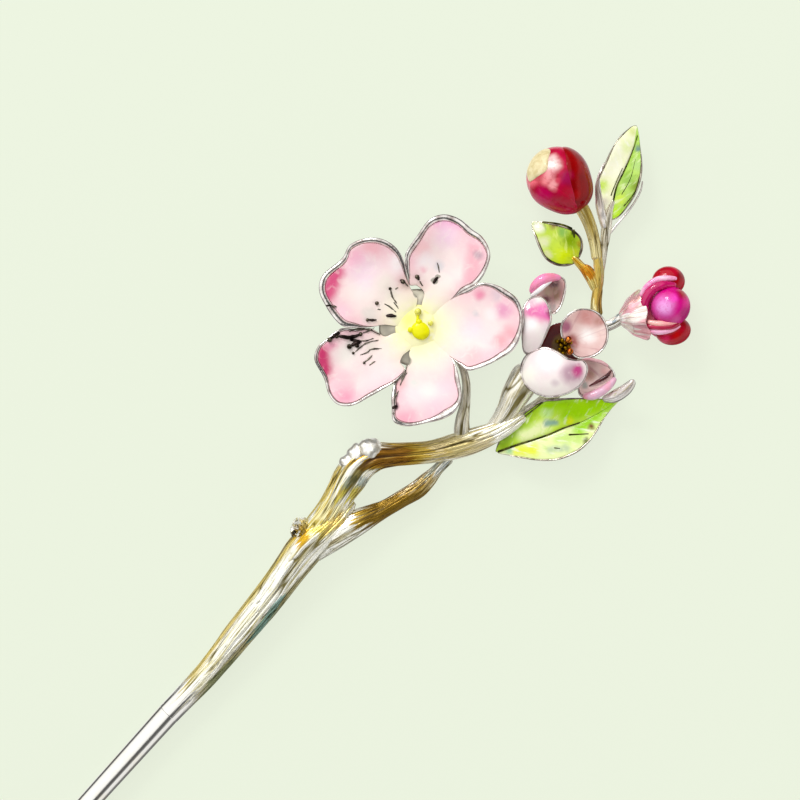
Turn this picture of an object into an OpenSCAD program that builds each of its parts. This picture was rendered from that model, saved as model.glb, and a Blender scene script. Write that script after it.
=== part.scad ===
// Hair stick: a smooth shank that turns into a bark-textured twig, with enamelled blossoms, buds and leaves.
// +X runs from the point of the shank to the tip of the spray, and +Z is the side that the blossoms face.
// The origin is on the shank's axis, at the middle of its straight length. All lengths are in millimetres.

/* [Shank] */
// Diameter of the straight part of the shank
shank_d = 2.9; // [2.6:0.1:3.2]
// Length of the straight part of the shank
shank_straight = 28; // [20:1:30]
// Length of the taper from the straight part to the point
shank_taper = 18; // [12:1:24]
// Diameter of the rounded point
point_d = 1.6; // [1.2:0.1:2]
// Diameter where the bark begins
shoulder_d = 3.6; // [3.4:0.1:3.8]

/* [Twig] */
// Depth of the bark's grooves, as a share of the radius
bark_depth = 0.12; // [0.04:0.01:0.18]
// Height of the cut stub on the twig's side
stub_h = 1.3; // [0.8:0.1:1.8]

/* [Big blossom] */
// Height of the petals' inner ends above the shank's axis
blossom_z = 4.3; // [4.2:0.1:5.5]
// Rise of the petal tips above their inner ends
blossom_bowl = 2.2; // [1:0.1:3]
// Rise of a petal's sides above its midline
petal_cup = 1.2; // [0.4:0.1:2]
// Radius of the rolled silver rim
rim_r = 0.45; // [0.3:0.05:0.55]
// Thickness of the metal under the enamel
tray_t = 0.55; // [0.4:0.05:0.8]
// Depth of the enamel in a petal
enamel_t = 0.4; // [0.2:0.05:0.5]

/* [Half-open blossom] */
// Depth that each petal is dished by
half_open_cup = 1.6; // [0.8:0.1:2]
// Radius of its finer rims
fine_rim_r = 0.28; // [0.2:0.02:0.36]

/* [Buds] */
// Diameter of the round red bud
red_bud_d = 9.2; // [8.6:0.1:9.6]
// Diameter of the front petal of the magenta bud
ball_d = 5.6; // [5:0.1:6]

/* [Leaves] */
// Thickness of a leaf's metal
leaf_t = 0.5; // [0.4:0.05:0.7]
// Height of a leaf's rim and midrib above its metal
leaf_rim_h = 0.4; // [0.2:0.05:0.6]

/* [Hidden] */
$fn = 32;

silver = "#D9D8D2";
gold = "#B08A2E";
pink = "#F3BFD2";
deep_pink = "#E77FB0";
lime = "#A6D81E";

shoulder_x = shank_straight / 2 + 18;
point_x = -shank_straight / 2 - shank_taper;

// Routes of the twigs, each point being [x, y, z, radius]
stem_path = [[shoulder_x, 0, 0, shoulder_d / 2], [40, -0.2, 0.1, 1.85], [46, 0.1, 0.3, 2.05],
             [52, 0.4, 0.4, 2.2], [57, 0.8, 0.6, 2.35], [61, 1.1, 0.9, 2.6], [65, 0.8, 1.2, 2.9],
             [68.5, 0.4, 1.3, 3]];
upper_path = [[66, 1.6, 1.1, 2.1], [70, 2.5, 1.2, 2.1], [72.5, 3.1, 1.4, 2.35], [75, 3.4, 1.6, 2.4],
              [77.6, 2.4, 1.6, 2.1], [80, 0.1, 1.5, 1.8], [82.6, -2.2, 1.4, 1.8],
              [85.4, -4.3, 1.3, 1.9], [88.4, -6.2, 1.3, 1.8], [92, -7.9, 1.2, 1.5], [96, -9, 1, 1.2]];
lower_path = [[67, -1, 0.5, 1.6], [69.3, -1.6, 0.4, 1.45], [71, -2.6, 0.2, 1.25],
              [73.2, -3.4, 0.1, 1.15], [76, -4.2, 0, 1.15], [78.8, -5.1, 0, 1.25], [81.2, -5.3, 0.2, 1],
              [83.4, -5.1, 0.5, 0.8], [85, -4.7, 0.7, 0.7]];
rear_path = [[95.5, -9, 0.8, 1.1], [100, -10, 0.4, 1], [105, -10, 0.2, 0.9], [110, -9, 0.3, 0.9],
             [113, -7.6, 0.6, 0.8]];
blossom_stalk_path = [[87.2, -4.6, 2.2, 1.3], [89.8, -2.7, 2.8, 0.85], [92.3, -0.9, 3, 0.6],
                      [94.4, 1.6, 2.8, 0.55], [95.2, 5.5, 2, 0.6], [94.8, 9.5, 1.6, 0.8]];
half_open_stalk_path = [[92.8, -8.2, 1.4, 1.2], [95.2, -7.4, 1.7, 1.6], [97.8, -6.3, 2, 1.6],
                        [100.2, -5.6, 2.4, 1.7]];
twig_path = [[112.4, -7.9, 0.7, 0.8], [114.5, -6, 0.9, 0.65], [116.2, -4.5, 1, 0.65],
             [117.6, -3, 1.1, 0.65], [119, -1.5, 1.2, 0.7]];
red_bud_stalk_path = [[118.6, -1.9, 1.2, 0.6], [120, 0.2, 1.4, 0.6], [121.1, 2.2, 1.8, 0.6],
                      [121.9, 4.6, 2.4, 0.8]];
long_leaf_stalk_path = [[117.4, -3.7, 0.9, 0.35], [118.9, -2.7, 0.8, 0.4], [120.4, -1.7, 0.8, 0.45],
                        [122.2, -0.6, 0.9, 0.5], [124.2, 0.5, 1, 0.45]];
small_leaf_stalk_path = [[115.4, -5.1, 0.9, 0.5], [116, -3.4, 1, 0.6], [116.3, -2.2, 1.1, 0.85],
                         [116.7, -1, 1.2, 0.6], [117.2, 0.5, 1.3, 0.45]];
magenta_bud_stalk_path = [[112.4, -7.2, 0.7, 0.7], [113.9, -8.9, 1.3, 0.6], [115.3, -9.9, 2, 0.65],
                          [116.6, -10.8, 2.5, 0.9]];

// Petal outlines of the big blossom, anticlockwise, measured from its centre
blossom_at = [94.7, 10.1];
petal_1 = [[1, 2.9], [2.3, 4.4], [4, 6.2], [5.3, 7.6], [6.1, 9.6], [5.7, 11.7], [4.4, 13.4],
           [2.2, 14.6], [0, 14.2], [-3.4, 14.6], [-5.4, 13.5], [-6.4, 11.3], [-6.9, 9.2], [-6.6, 7.3],
           [-4.7, 5.3], [-2.7, 4.2], [-1, 3]];
petal_2 = [[-2.9, 1.5], [-3.9, 3.2], [-5.5, 5.1], [-7.2, 7.1], [-9, 8.2], [-11.2, 8.5], [-12.9, 7.6],
           [-13.9, 5], [-15.1, 3], [-15.3, 1.1], [-14, -0.5], [-11.6, -1.4], [-9.8, -2], [-7.4, -2.4],
           [-5.2, -2], [-3.2, -0.6]];
petal_3 = [[-0.4, -3], [-2.9, -1.7], [-5.2, -2.8], [-8, -3.3], [-10.2, -4.6], [-11.9, -6.1],
           [-11.2, -7.9], [-9.1, -9.6], [-7, -11], [-5.1, -11.5], [-3.2, -10.9], [-1.5, -9], [-0.5, -7],
           [-0.4, -5]];
petal_4 = [[2.9, -1.1], [0.5, -2.9], [0.3, -5], [0.3, -7], [0.4, -9.2], [2.4, -10.5], [4.5, -11.3],
           [6.5, -11.8], [8.6, -11.2], [10.8, -9.6], [12, -7.6], [11.9, -5.4], [11, -3.6], [9.7, -2.5],
           [7.2, -1.6], [5, -1.1]];
petal_5 = [[3.1, 1.5], [4.4, 3.3], [5, 5], [5.8, 6.7], [7.2, 8.1], [9.4, 8.6], [12, 8.8], [13.9, 7.8],
           [14.9, 5.8], [15, 3.6], [15.1, 1.6], [14.1, -0.6], [12, -1.7], [9.8, -1.6], [7.2, -0.8],
           [5, -0.3], [3.2, -0.2]];
big_sectors = 30;
disc_r = 2.9;

// Petals of the half-open blossom: [x, y, z], [tilt, heading, spin], [length, width], dish
half_open_petals = [
    [[109.2, 0.4, 5.2], [42, -104, 0], [8, 6.4], half_open_cup],
    [[105.6, -2.2, 6.2], [38, 112, 20], [4.8, 7.6], -half_open_cup],
    [[109.4, -8, 4.8], [32, 161, 0], [6.8, 7.2], half_open_cup],
    [[103.2, -8.6, 5.6], [36, 206, 0], [6.6, 8.4], -half_open_cup],
    [[106.2, -13.4, 4.2], [42, 82, 0], [5.8, 6.6], half_open_cup]
];
half_open_at = [106.5, -6.3];
small_sectors = 24;

// Level of the table that the shank's shoulder, the red bud and the magenta bud's sepals lie on
rest_z = -shoulder_d / 2;
wrap_t = 0.25;
core_r = red_bud_d / 2 - wrap_t;
red_bud_at = [123.2, 9.7, rest_z + core_r];
side_petal_r = 2.8;
side_petal_drop = 0.4;
sepal_r = 4;
magenta_bud_at = [119.9, -13.5, rest_z + sepal_r];
magenta_heading = -38;

// Leaves: [length, half width, place of the widest point, sideways bend, fold, arch]
big_leaf = [19.4, 4.4, 0.46, -0.8, 0.9, 1.2];
long_leaf = [13.8, 2.9, 0.48, 0.2, 0.8, 0.7];
small_leaf = [8.2, 2.8, 0.38, -0.3, 0.7, 0.5];
// Places across a half leaf: beside the midrib, two between, beside the rim, top of the rim, edge
leaf_columns = [0.09, 0.35, 0.62, 0.84, 0.93, 1];
leaf_rows = 16;

// ---- curves ----

// Point between b and c, at t from 0 to 1, of the smooth curve through a, b, c and d
function curve(a, b, c, d, t) =
    0.5 * (2 * b + (c - a) * t + (2 * a - 5 * b + 4 * c - d) * t * t + (3 * b - a - 3 * c + d) * t * t * t);

// Point at u, from 0 to 1, of the smooth open curve through the path
function along(path, u) =
    let (last = len(path) - 1, s = min(u * last, last - 0.001), i = floor(s))
    curve(path[max(i - 1, 0)], path[i], path[i + 1], path[min(i + 2, last)], s - i);

// Point at u, from 0 to 1, of the smooth closed curve through the points
function around(points, u) =
    let (n = len(points), s = u * n, i = floor(s))
    curve(points[(i + n - 1) % n], points[i % n], points[(i + 1) % n], points[(i + 2) % n], s - i);

function place(p) = [p[0], p[1], p[2]];
function unit(v) = v / norm(v);
function flat(lists) = [for (l = lists) each l];
function sum(points, i = 0) = i == len(points) - 1 ? points[i] : points[i] + sum(points, i + 1);
function middle(points) = sum(points) / len(points);

// ---- general solids ----

// Solid swept along a path of [x, y, z, radius] points, with grooves that run along it
module twig(path, rings, sides, groove) {
    rows = [for (i = [0:rings])
        let (
            u = i / rings,
            at = along(path, u),
            ahead = place(along(path, min(u + 0.01, 1))) - place(along(path, max(u - 0.01, 0))),
            side = unit(cross([0, 0, 1], ahead)),
            up = unit(cross(ahead, side))
        )
        [for (j = [0:sides - 1])
            let (
                a = 360 * j / sides,
                cut = groove * (j % 2) * (0.6 + 0.4 * sin(230 * u * rings / 7 + 97 * j))
            )
            place(at) + at[3] * (1 - cut) * (cos(a) * side + sin(a) * up)]];
    quads = [for (i = [0:rings - 1], j = [0:sides - 1])
        let (a = i * sides + j, b = i * sides + (j + 1) % sides)
        each [[a, a + sides, b + sides], [a, b + sides, b]]];
    caps = [[for (j = [0:sides - 1]) j], [for (j = [sides - 1:-1:0]) rings * sides + j]];
    polyhedron(flat(rows), concat(quads, caps));
}

// Closed solid over an outline. A profile point [share, inset, dz] gives, on each ray from the centre,
// the point at that share of the ray less the inset, dz above the height that rise gives there.
module dish(edge, centre, rise, profile) {
    n = len(edge);
    m = len(profile) - 2;
    lift = function (p, dz) [p[0], p[1], rise(p) + dz];
    rings = [for (i = [1:m], e = edge)
        let (ray = e - centre, reach = max(norm(ray) - profile[i][1], 0.1) * profile[i][0])
        lift(centre + unit(ray) * reach, profile[i][2])];
    points = concat([lift(centre, profile[0][2])], rings, [lift(centre, profile[m + 1][2])]);
    last = len(points) - 1;
    top = [for (j = [0:n - 1]) [0, 1 + (j + 1) % n, 1 + j]];
    bottom = [for (j = [0:n - 1]) [1 + (m - 1) * n + j, 1 + (m - 1) * n + (j + 1) % n, last]];
    quads = [for (i = [0:m - 2], j = [0:n - 1])
        let (a = 1 + i * n + j, b = 1 + i * n + (j + 1) % n)
        each [[a, b, b + n], [a, b + n, a + n]]];
    polyhedron(points, concat(top, quads, bottom));
}

// Closed solid between two surfaces given as rows of points, the upper one over the lower one
module slab(upper, lower) {
    rows = len(upper);
    cols = len(upper[0]);
    n = rows * cols;
    grid = [for (i = [0:rows - 2], j = [0:cols - 2])
        let (a = i * cols + j)
        each [
            [a, a + 1, a + cols + 1], [a, a + cols + 1, a + cols],
            [n + a, n + a + cols + 1, n + a + 1], [n + a, n + a + cols, n + a + cols + 1]
        ]];
    loop = concat(
        [for (j = [0:cols - 2]) j], [for (i = [0:rows - 2]) i * cols + cols - 1],
        [for (j = [cols - 1:-1:1]) (rows - 1) * cols + j], [for (i = [rows - 1:-1:1]) i * cols]
    );
    walls = [for (k = [0:len(loop) - 1])
        let (a = loop[k], b = loop[(k + 1) % len(loop)])
        each [[a, n + a, n + b], [a, n + b, b]]];
    polyhedron(concat(flat(upper), flat(lower)), concat(grid, walls));
}

// ---- petals ----

// Tray of a petal: a plate with a rolled rim all round
function tray_profile(rim) = concat(
    [for (f = [0, 0.45, 0.8, 1]) [f, 2 * rim, 0]],
    [for (a = [120, 60, 0, -60]) [1, rim * (1 - cos(a)), rim * sin(a)]],
    [for (f = [0.95, 0.5, 0]) [f, 2 * rim, -tray_t]]
);

// Enamel that fills the tray, a little crowned, with its underside on the tray's plate
function enamel_profile(rim, depth) = [
    [0, 2 * rim, depth], [0.45, 2 * rim, depth], [0.8, 2 * rim, depth * 0.85], [1, 2 * rim, depth * 0.3],
    [1, 2 * rim, 0], [0.8, 2 * rim, 0], [0.45, 2 * rim, 0], [0, 2 * rim, 0]
];

function petal_edge(points) = [for (j = [0:big_sectors - 1]) around(points, j / big_sectors)];

// Height of a big petal's plate: it rises to the tip and to both sides of its midline
function petal_rise(points) =
    let (dir = unit(middle(points)))
    function (p) blossom_bowl * pow(norm(p) / 15, 1.7)
        + petal_cup * pow((p[0] * dir[1] - p[1] * dir[0]) / 6, 2);

module at_blossom() {
    translate([blossom_at[0], blossom_at[1], blossom_z]) children();
}

module petal_tray(points) {
    color(silver) at_blossom()
        dish(petal_edge(points), middle(points), petal_rise(points), tray_profile(rim_r));
}

module petal_enamel(points) {
    color(pink) at_blossom()
        dish(petal_edge(points), middle(points), petal_rise(points), enamel_profile(rim_r, enamel_t));
}

// Egg-shaped outline, broader towards +X
function egg(size) = [for (j = [0:small_sectors - 1])
    let (a = 360 * j / small_sectors)
    [cos(a) * size[0] / 2, sin(a) * (1 + 0.12 * cos(a)) * size[1] / 2]];

function egg_rise(size, cup) =
    function (p) cup * (pow(p[0] * 2 / size[0], 2) + pow(p[1] * 2 / size[1], 2));

module at_half_open(petal) {
    translate(petal[0])
        rotate([0, petal[1][0], petal[1][1]])
            rotate([0, 0, petal[1][2]])
                translate([0, 0, -petal[3] / 2]) children();
}

module half_open_shell(petal) {
    color(silver) at_half_open(petal)
        dish(egg(petal[2]), [0, 0], egg_rise(petal[2], petal[3]), tray_profile(fine_rim_r));
}

module half_open_enamel(petal) {
    color(deep_pink) at_half_open(petal)
        dish(egg(petal[2]), [0, 0], egg_rise(petal[2], petal[3]), enamel_profile(fine_rim_r, fine_rim_r));
}

// ---- leaves ----

// Half width of a leaf at u, from 0 at its base to 1 at its tip
function leaf_half(leaf, u) = leaf[1] * pow(sin(180 * pow(u, ln(0.5) / ln(leaf[2]))), 1.1);

// Point of a leaf's plate at u along it and v across it, raised by dz
function leaf_point(leaf, u, v, dz) =
    let (w = leaf_half(leaf, u) + 0.15)
    [u * leaf[0], leaf[3] * sin(180 * u) + v * w,
     leaf[4] * abs(v) * w / leaf[1] + leaf[5] * sin(180 * u) * (1 - v * v / 2) + dz];

function leaf_surface(leaf, columns, heights) = [for (i = [0:leaf_rows])
    [for (j = [0:len(columns) - 1]) leaf_point(leaf, 0.01 + 0.98 * i / leaf_rows, columns[j], heights[j])]];

// Plate with a raised rim and midrib
module leaf_frame(leaf) {
    half = [0, 0, 0, 0, leaf_rim_h, 0];
    columns = concat([for (k = [5:-1:0]) -leaf_columns[k]], [0], leaf_columns);
    heights = concat([for (k = [5:-1:0]) half[k]], [leaf_rim_h], half);
    backs = [for (c = columns) -leaf_t];
    color(silver) slab(leaf_surface(leaf, columns, heights), leaf_surface(leaf, columns, backs));
}

// Enamel between the midrib and the rim, on the side that sign gives
module leaf_enamel(leaf, sign) {
    inner = [for (k = [0:3]) sign * leaf_columns[sign > 0 ? k : 3 - k]];
    top = leaf_rim_h * 0.75;
    tops = [for (c = inner) top];
    color(lime) slab(leaf_surface(leaf, inner, tops), leaf_surface(leaf, inner, 0 * tops));
}

module at_big_leaf() { translate([89.4, -9.9, -0.2]) rotate([0, -3, -25]) children(); }
module at_long_leaf() { translate([123, 0, 0.6]) rotate([0, -3, 26.5]) children(); }
module at_small_leaf() { translate([117, 0, 0.8]) rotate([0, -6, 96]) children(); }

// Silver tip that curls back beyond the big leaf's end
module leaf_curl() {
    twig([[105.6, -17.2, 1, 0.8], [107.4, -17.8, 1.4, 0.75], [109, -17.7, 2.2, 0.6],
          [109.4, -17.4, 3, 0.35]], 12, 10, 0);
}

// ---- twigs ----

module shank_rod() {
    r = shank_d / 2;
    tip_r = point_d / 2;
    tip = [for (a = [0:15:90]) [tip_r * sin(a), point_x + tip_r * (1 - cos(a))]];
    color(silver) rotate([0, 90, 0]) rotate_extrude($fn = 64)
        polygon(concat(tip, [[r, -shank_straight / 2], [r, shank_straight / 2],
                             [shoulder_d / 2, shoulder_x], [0, shoulder_x]]));
}

module bark_stem() { color(gold) twig(stem_path, 26, 20, bark_depth); }
module upper_branch() { color(gold) twig(upper_path, 34, 18, bark_depth); }
module lower_branch() { color(gold) twig(lower_path, 18, 16, bark_depth); }
module rear_branch() { color(silver) twig(rear_path, 12, 10, bark_depth); }
module blossom_stalk() { color(silver) twig(blossom_stalk_path, 16, 10, bark_depth); }
module half_open_stalk() { color(silver) twig(half_open_stalk_path, 10, 14, bark_depth); }
module twig_stem() { color(gold) twig(twig_path, 10, 10, bark_depth); }
module red_bud_stalk() { color(gold) twig(red_bud_stalk_path, 10, 10, bark_depth); }
module long_leaf_stalk() { color(silver) twig(long_leaf_stalk_path, 10, 8, bark_depth); }
module small_leaf_stalk() { color(gold) twig(small_leaf_stalk_path, 12, 10, bark_depth); }
module magenta_bud_stalk() { color(silver) twig(magenta_bud_stalk_path, 10, 10, bark_depth); }

// Stub of a side twig that was cut off, with a hollow end
module cut_stub() {
    color(gold) translate([62.6, 3.2, 1.4]) rotate([-75, 0, 20]) difference() {
        cylinder(r1 = 1.3, r2 = 1, h = stub_h);
        translate([0, 0, stub_h - 0.6]) cylinder(r1 = 0.35, r2 = 0.6, h = 1);
    }
}

// Swollen knot at the elbow of the upper branch: a small knob that runs into a large one
module branch_knot() {
    color(silver) twig([[74.7, 5, 2.2, 0.3], [75.4, 5, 2.4, 0.8], [76.4, 4.7, 2.5, 0.9],
                        [77.9, 4, 2.6, 1.5], [79.1, 3.8, 2.6, 1.1], [79.6, 3.8, 2.5, 0.3]], 12, 16, 0);
}

// ---- big blossom ----

// Saucer that the petals are soldered to, over a short neck
module blossom_calyx() {
    color(silver) translate([blossom_at[0], blossom_at[1], 0]) rotate_extrude()
        polygon([[0, 1.7], [1.2, 1.7], [1.8, 2.6], [5, 3.2], [5.2, 3.5], [5, 3.7], [0, 3.7]]);
}

module blossom_disc() {
    color("#F4F0B0") translate([blossom_at[0], blossom_at[1], 3.7]) rotate_extrude()
        polygon([[0, 0], [disc_r, 0], [disc_r, 0.7], [disc_r - 0.6, 1.1], [1, 1.2], [0, 1.2]]);
}

// Lemon-yellow knob at the centre and the bead on its neck
module pistil() {
    color("#F0F000") translate([blossom_at[0], blossom_at[1], 4.9]) intersection() {
        sphere(r = 1.5);
        translate([-2, -2, 0]) cube([4, 4, 2]);
    }
}

wire_angles = [96, 112, 128, 146, 160, 174, 188, 202];
wire_reach = 7.4;

module stamen_wires() {
    color(silver) at_blossom() for (k = [0:len(wire_angles) - 1])
        rotate([0, 0, wire_angles[k]]) translate([disc_r - 0.2, 0, 0.75])
            rotate([0, 84, 0]) cylinder(r = 0.14, h = wire_reach - disc_r - 0.7 * (k % 2), $fn = 16);
}

module anther_beads() {
    color(gold) at_blossom() {
        translate([1.5, 1.4, 1.3]) sphere(r = 0.5);
        translate([1.6, -0.9, 1.2]) sphere(r = 0.38);
        for (k = [0:len(wire_angles) - 1])
            rotate([0, 0, wire_angles[k]]) translate([wire_reach + 0.1 - 0.7 * (k % 2), 0, 1.3])
                sphere(r = 0.3);
    }
}

// ---- half-open blossom ----

// Cup that joins the stalk to the five petals
module half_open_calyx() {
    color(silver) translate([100, -5.7, 2]) rotate([0, 58, -8]) rotate_extrude()
        polygon([[0, 0], [1.7, 0.2], [2.2, 1.6], [2.7, 3.4], [2.2, 3.5], [0, 2.6]]);
}

module half_open_stamens() {
    color("#8A7416") for (a = [0:60:300])
        translate([half_open_at[0] + 0.8 * cos(a), half_open_at[1] + 0.8 * sin(a), 3])
            rotate([0, 14, a]) cylinder(r1 = 0.45, r2 = 0.25, h = 2.8, $fn = 16);
}

module half_open_beads() {
    color("#D98B1C") for (a = [0:60:300])
        translate([half_open_at[0] + 1.7 * cos(a), half_open_at[1] + 1.7 * sin(a), 6])
            sphere(r = 0.5);
}

// ---- buds ----

module red_bud_core() {
    color("#A0101C") translate(red_bud_at) sphere(r = core_r);
}

// Part of a thin shell round the red bud: what lies inside a ball of the given radius and centre
module red_bud_shell(centre, radius) {
    translate(red_bud_at) intersection() {
        difference() {
            sphere(r = core_r + wrap_t);
            sphere(r = core_r);
        }
        translate(centre) sphere(r = radius);
    }
}

module red_bud_dark_wrap() { color("#B01018") red_bud_shell([4.2, -2.6, 1], 4.2); }
module red_bud_rose_wrap() { color("#D01858") red_bud_shell([-4, -1.2, 1.6], 3.4); }
module red_bud_cap() { color("#CDB47A") red_bud_shell([0.2, 4.4, 2.8], 3); }

module at_magenta_bud() {
    translate(magenta_bud_at) rotate([0, 0, magenta_heading]) children();
}

module magenta_bud_ball() {
    color("#D84CB0") at_magenta_bud() translate([0.6, 0, 0.9]) sphere(d = ball_d);
}

// One of the two petals beside the front petal, which it hugs
module magenta_side_petal(side) {
    color("#C81846") at_magenta_bud() difference() {
        translate([1, side * 3, -side_petal_drop]) sphere(r = side_petal_r);
        translate([0.6, 0, 0.9]) sphere(d = ball_d);
        translate([-6, side > 0 ? -6 : 0, -6]) cube([12, 6, 12]);
    }
}

module magenta_bud_upper_petal() { magenta_side_petal(1); }
module magenta_bud_lower_petal() { magenta_side_petal(-1); }

// Sepals of the magenta bud, as one flared cup behind the petals
module magenta_bud_calyx() {
    color(silver) at_magenta_bud() difference() {
        translate([-4.9, 0, 0]) rotate([0, 90, 0]) rotate_extrude()
            polygon([[0, 0], [0.9, 0], [1.6, 1.2], [3.4, 3], [sepal_r, 4.6], [0, 4.6]]);
        translate([0.6, 0, 0.9]) sphere(d = ball_d);
        for (side = [-1, 1]) translate([1, side * 3, -side_petal_drop]) sphere(r = side_petal_r);
    }
}

// ---- leaves in place ----

module big_leaf_frame() {
    at_big_leaf() leaf_frame(big_leaf);
    color(silver) leaf_curl();
}
module big_leaf_upper_enamel() { at_big_leaf() leaf_enamel(big_leaf, 1); }
module big_leaf_lower_enamel() { at_big_leaf() leaf_enamel(big_leaf, -1); }
module long_leaf_frame() { at_long_leaf() leaf_frame(long_leaf); }
module long_leaf_upper_enamel() { at_long_leaf() leaf_enamel(long_leaf, 1); }
module long_leaf_lower_enamel() { at_long_leaf() leaf_enamel(long_leaf, -1); }
module small_leaf_frame() { at_small_leaf() leaf_frame(small_leaf); }
module small_leaf_enamel() {
    at_small_leaf() {
        leaf_enamel(small_leaf, 1);
        leaf_enamel(small_leaf, -1);
    }
}

shank_rod();
bark_stem();
cut_stub();
upper_branch();
branch_knot();
lower_branch();
rear_branch();
blossom_stalk();
half_open_stalk();
twig_stem();
red_bud_stalk();
long_leaf_stalk();
small_leaf_stalk();
magenta_bud_stalk();
blossom_calyx();
petal_tray(petal_1);  // petal_1_tray
petal_tray(petal_2);  // petal_2_tray
petal_tray(petal_3);  // petal_3_tray
petal_tray(petal_4);  // petal_4_tray
petal_tray(petal_5);  // petal_5_tray
petal_enamel(petal_1);  // petal_1_enamel
petal_enamel(petal_2);  // petal_2_enamel
petal_enamel(petal_3);  // petal_3_enamel
petal_enamel(petal_4);  // petal_4_enamel
petal_enamel(petal_5);  // petal_5_enamel
blossom_disc();
pistil();
stamen_wires();
anther_beads();
half_open_calyx();
half_open_shell(half_open_petals[0]);  // back_petal_shell
half_open_shell(half_open_petals[1]);  // left_petal_shell
half_open_shell(half_open_petals[2]);  // right_petal_shell
half_open_shell(half_open_petals[3]);  // front_petal_shell
half_open_shell(half_open_petals[4]);  // side_petal_shell
half_open_enamel(half_open_petals[0]);  // back_petal_enamel
half_open_enamel(half_open_petals[1]);  // left_petal_enamel
half_open_enamel(half_open_petals[2]);  // right_petal_enamel
half_open_enamel(half_open_petals[3]);  // front_petal_enamel
half_open_enamel(half_open_petals[4]);  // side_petal_enamel
half_open_stamens();
half_open_beads();
red_bud_core();
red_bud_dark_wrap();
red_bud_rose_wrap();
red_bud_cap();
magenta_bud_calyx();
magenta_bud_ball();
magenta_bud_upper_petal();
magenta_bud_lower_petal();
big_leaf_frame();
big_leaf_upper_enamel();
big_leaf_lower_enamel();
long_leaf_frame();
long_leaf_upper_enamel();
long_leaf_lower_enamel();
small_leaf_frame();
small_leaf_enamel();
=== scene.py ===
import math

import bpy
import numpy as np
from mathutils import Matrix, Vector


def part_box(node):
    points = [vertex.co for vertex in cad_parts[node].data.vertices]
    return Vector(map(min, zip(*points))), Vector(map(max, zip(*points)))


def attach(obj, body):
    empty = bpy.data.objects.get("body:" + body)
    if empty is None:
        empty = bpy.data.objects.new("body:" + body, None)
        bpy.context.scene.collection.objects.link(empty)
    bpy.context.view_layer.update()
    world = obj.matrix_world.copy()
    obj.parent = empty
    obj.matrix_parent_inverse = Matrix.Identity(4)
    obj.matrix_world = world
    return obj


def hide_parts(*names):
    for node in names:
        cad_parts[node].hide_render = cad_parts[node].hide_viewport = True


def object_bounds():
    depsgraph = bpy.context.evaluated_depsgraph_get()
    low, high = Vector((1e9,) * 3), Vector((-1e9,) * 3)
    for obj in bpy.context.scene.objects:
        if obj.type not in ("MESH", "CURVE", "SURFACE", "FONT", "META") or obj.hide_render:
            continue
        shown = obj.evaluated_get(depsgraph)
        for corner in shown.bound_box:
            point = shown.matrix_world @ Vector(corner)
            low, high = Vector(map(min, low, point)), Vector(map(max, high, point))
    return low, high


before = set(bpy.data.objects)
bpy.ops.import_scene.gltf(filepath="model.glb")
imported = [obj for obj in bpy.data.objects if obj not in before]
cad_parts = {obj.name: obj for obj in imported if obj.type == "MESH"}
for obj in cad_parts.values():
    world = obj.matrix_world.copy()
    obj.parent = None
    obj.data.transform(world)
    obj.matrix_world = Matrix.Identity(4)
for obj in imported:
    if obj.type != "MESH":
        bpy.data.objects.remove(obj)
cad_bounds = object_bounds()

# Lengths below are in millimetres, in the part's frame, until a mesh is made.
MM = 0.001
BODY = "root"


# ---------------------------------------------------------------- numbers and curves

def smooth(t):
    """Smooth step of t, which is cut to 0..1 first."""
    t = np.clip(t, 0.0, 1.0)
    return t * t * (3 - 2 * t)


def noise2(x, y, period, seed):
    """Smooth noise from 0 to 1 that repeats after `period` cells along x."""
    table = np.random.RandomState(seed).rand(period, 256)
    x, y = np.broadcast_arrays(np.asarray(x, float), np.asarray(y, float))
    i, j = np.floor(x).astype(int), np.floor(y).astype(int)
    fx, fy = smooth(x - i), smooth(y - j)
    low = table[i % period, j % 256] * (1 - fx) + table[(i + 1) % period, j % 256] * fx
    high = table[i % period, (j + 1) % 256] * (1 - fx) + table[(i + 1) % period, (j + 1) % 256] * fx
    return low * (1 - fy) + high * fy


def curve(a, b, c, d, t):
    """Point between b and c, at t from 0 to 1, on the smooth curve through a, b, c and d."""
    return 0.5 * (2 * b + (c - a) * t + (2 * a - 5 * b + 4 * c - d) * t**2 + (3 * b - a - 3 * c + d) * t**3)


def open_curve(points, count):
    """`count` points, evenly spaced by length, on the smooth open curve through the points."""
    p = np.array(points, float)
    last = len(p) - 1
    s = np.linspace(0, last - 1e-9, 40 * last)
    i = np.floor(s).astype(int)
    dense = curve(p[np.maximum(i - 1, 0)], p[i], p[i + 1], p[np.minimum(i + 2, last)], (s - i)[:, None])
    steps = np.linalg.norm(np.diff(dense[:, :3], axis=0), axis=1)
    length = np.concatenate([[0], np.cumsum(steps)])
    wanted = np.linspace(0, length[-1], count)
    return np.stack([np.interp(wanted, length, dense[:, k]) for k in range(p.shape[1])], 1), wanted


def closed_curve(points, count):
    """`count` points on the smooth closed curve through the points."""
    p = np.array(points, float)
    n = len(p)
    s = np.linspace(0, n, count, endpoint=False)
    i = np.floor(s).astype(int)
    return curve(p[(i - 1) % n], p[i % n], p[(i + 1) % n], p[(i + 2) % n], (s - i)[:, None])


def turned(tilt, heading, spin=0.0):
    """Matrix that spins about Z, then tilts +Z towards the heading, all in degrees."""
    return np.array(
        Matrix.Rotation(math.radians(heading), 3, "Z")
        @ Matrix.Rotation(math.radians(tilt), 3, "Y")
        @ Matrix.Rotation(math.radians(spin), 3, "Z")
    )


def middle_of(node):
    """Centre of a CAD node's box, in millimetres."""
    low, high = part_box(node)
    return np.array((low + high) / 2) / MM


def half_of(node):
    """Half the size of a CAD node's box, in millimetres."""
    low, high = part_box(node)
    return np.array((high - low) / 2) / MM


# ---------------------------------------------------------------- meshes

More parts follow.
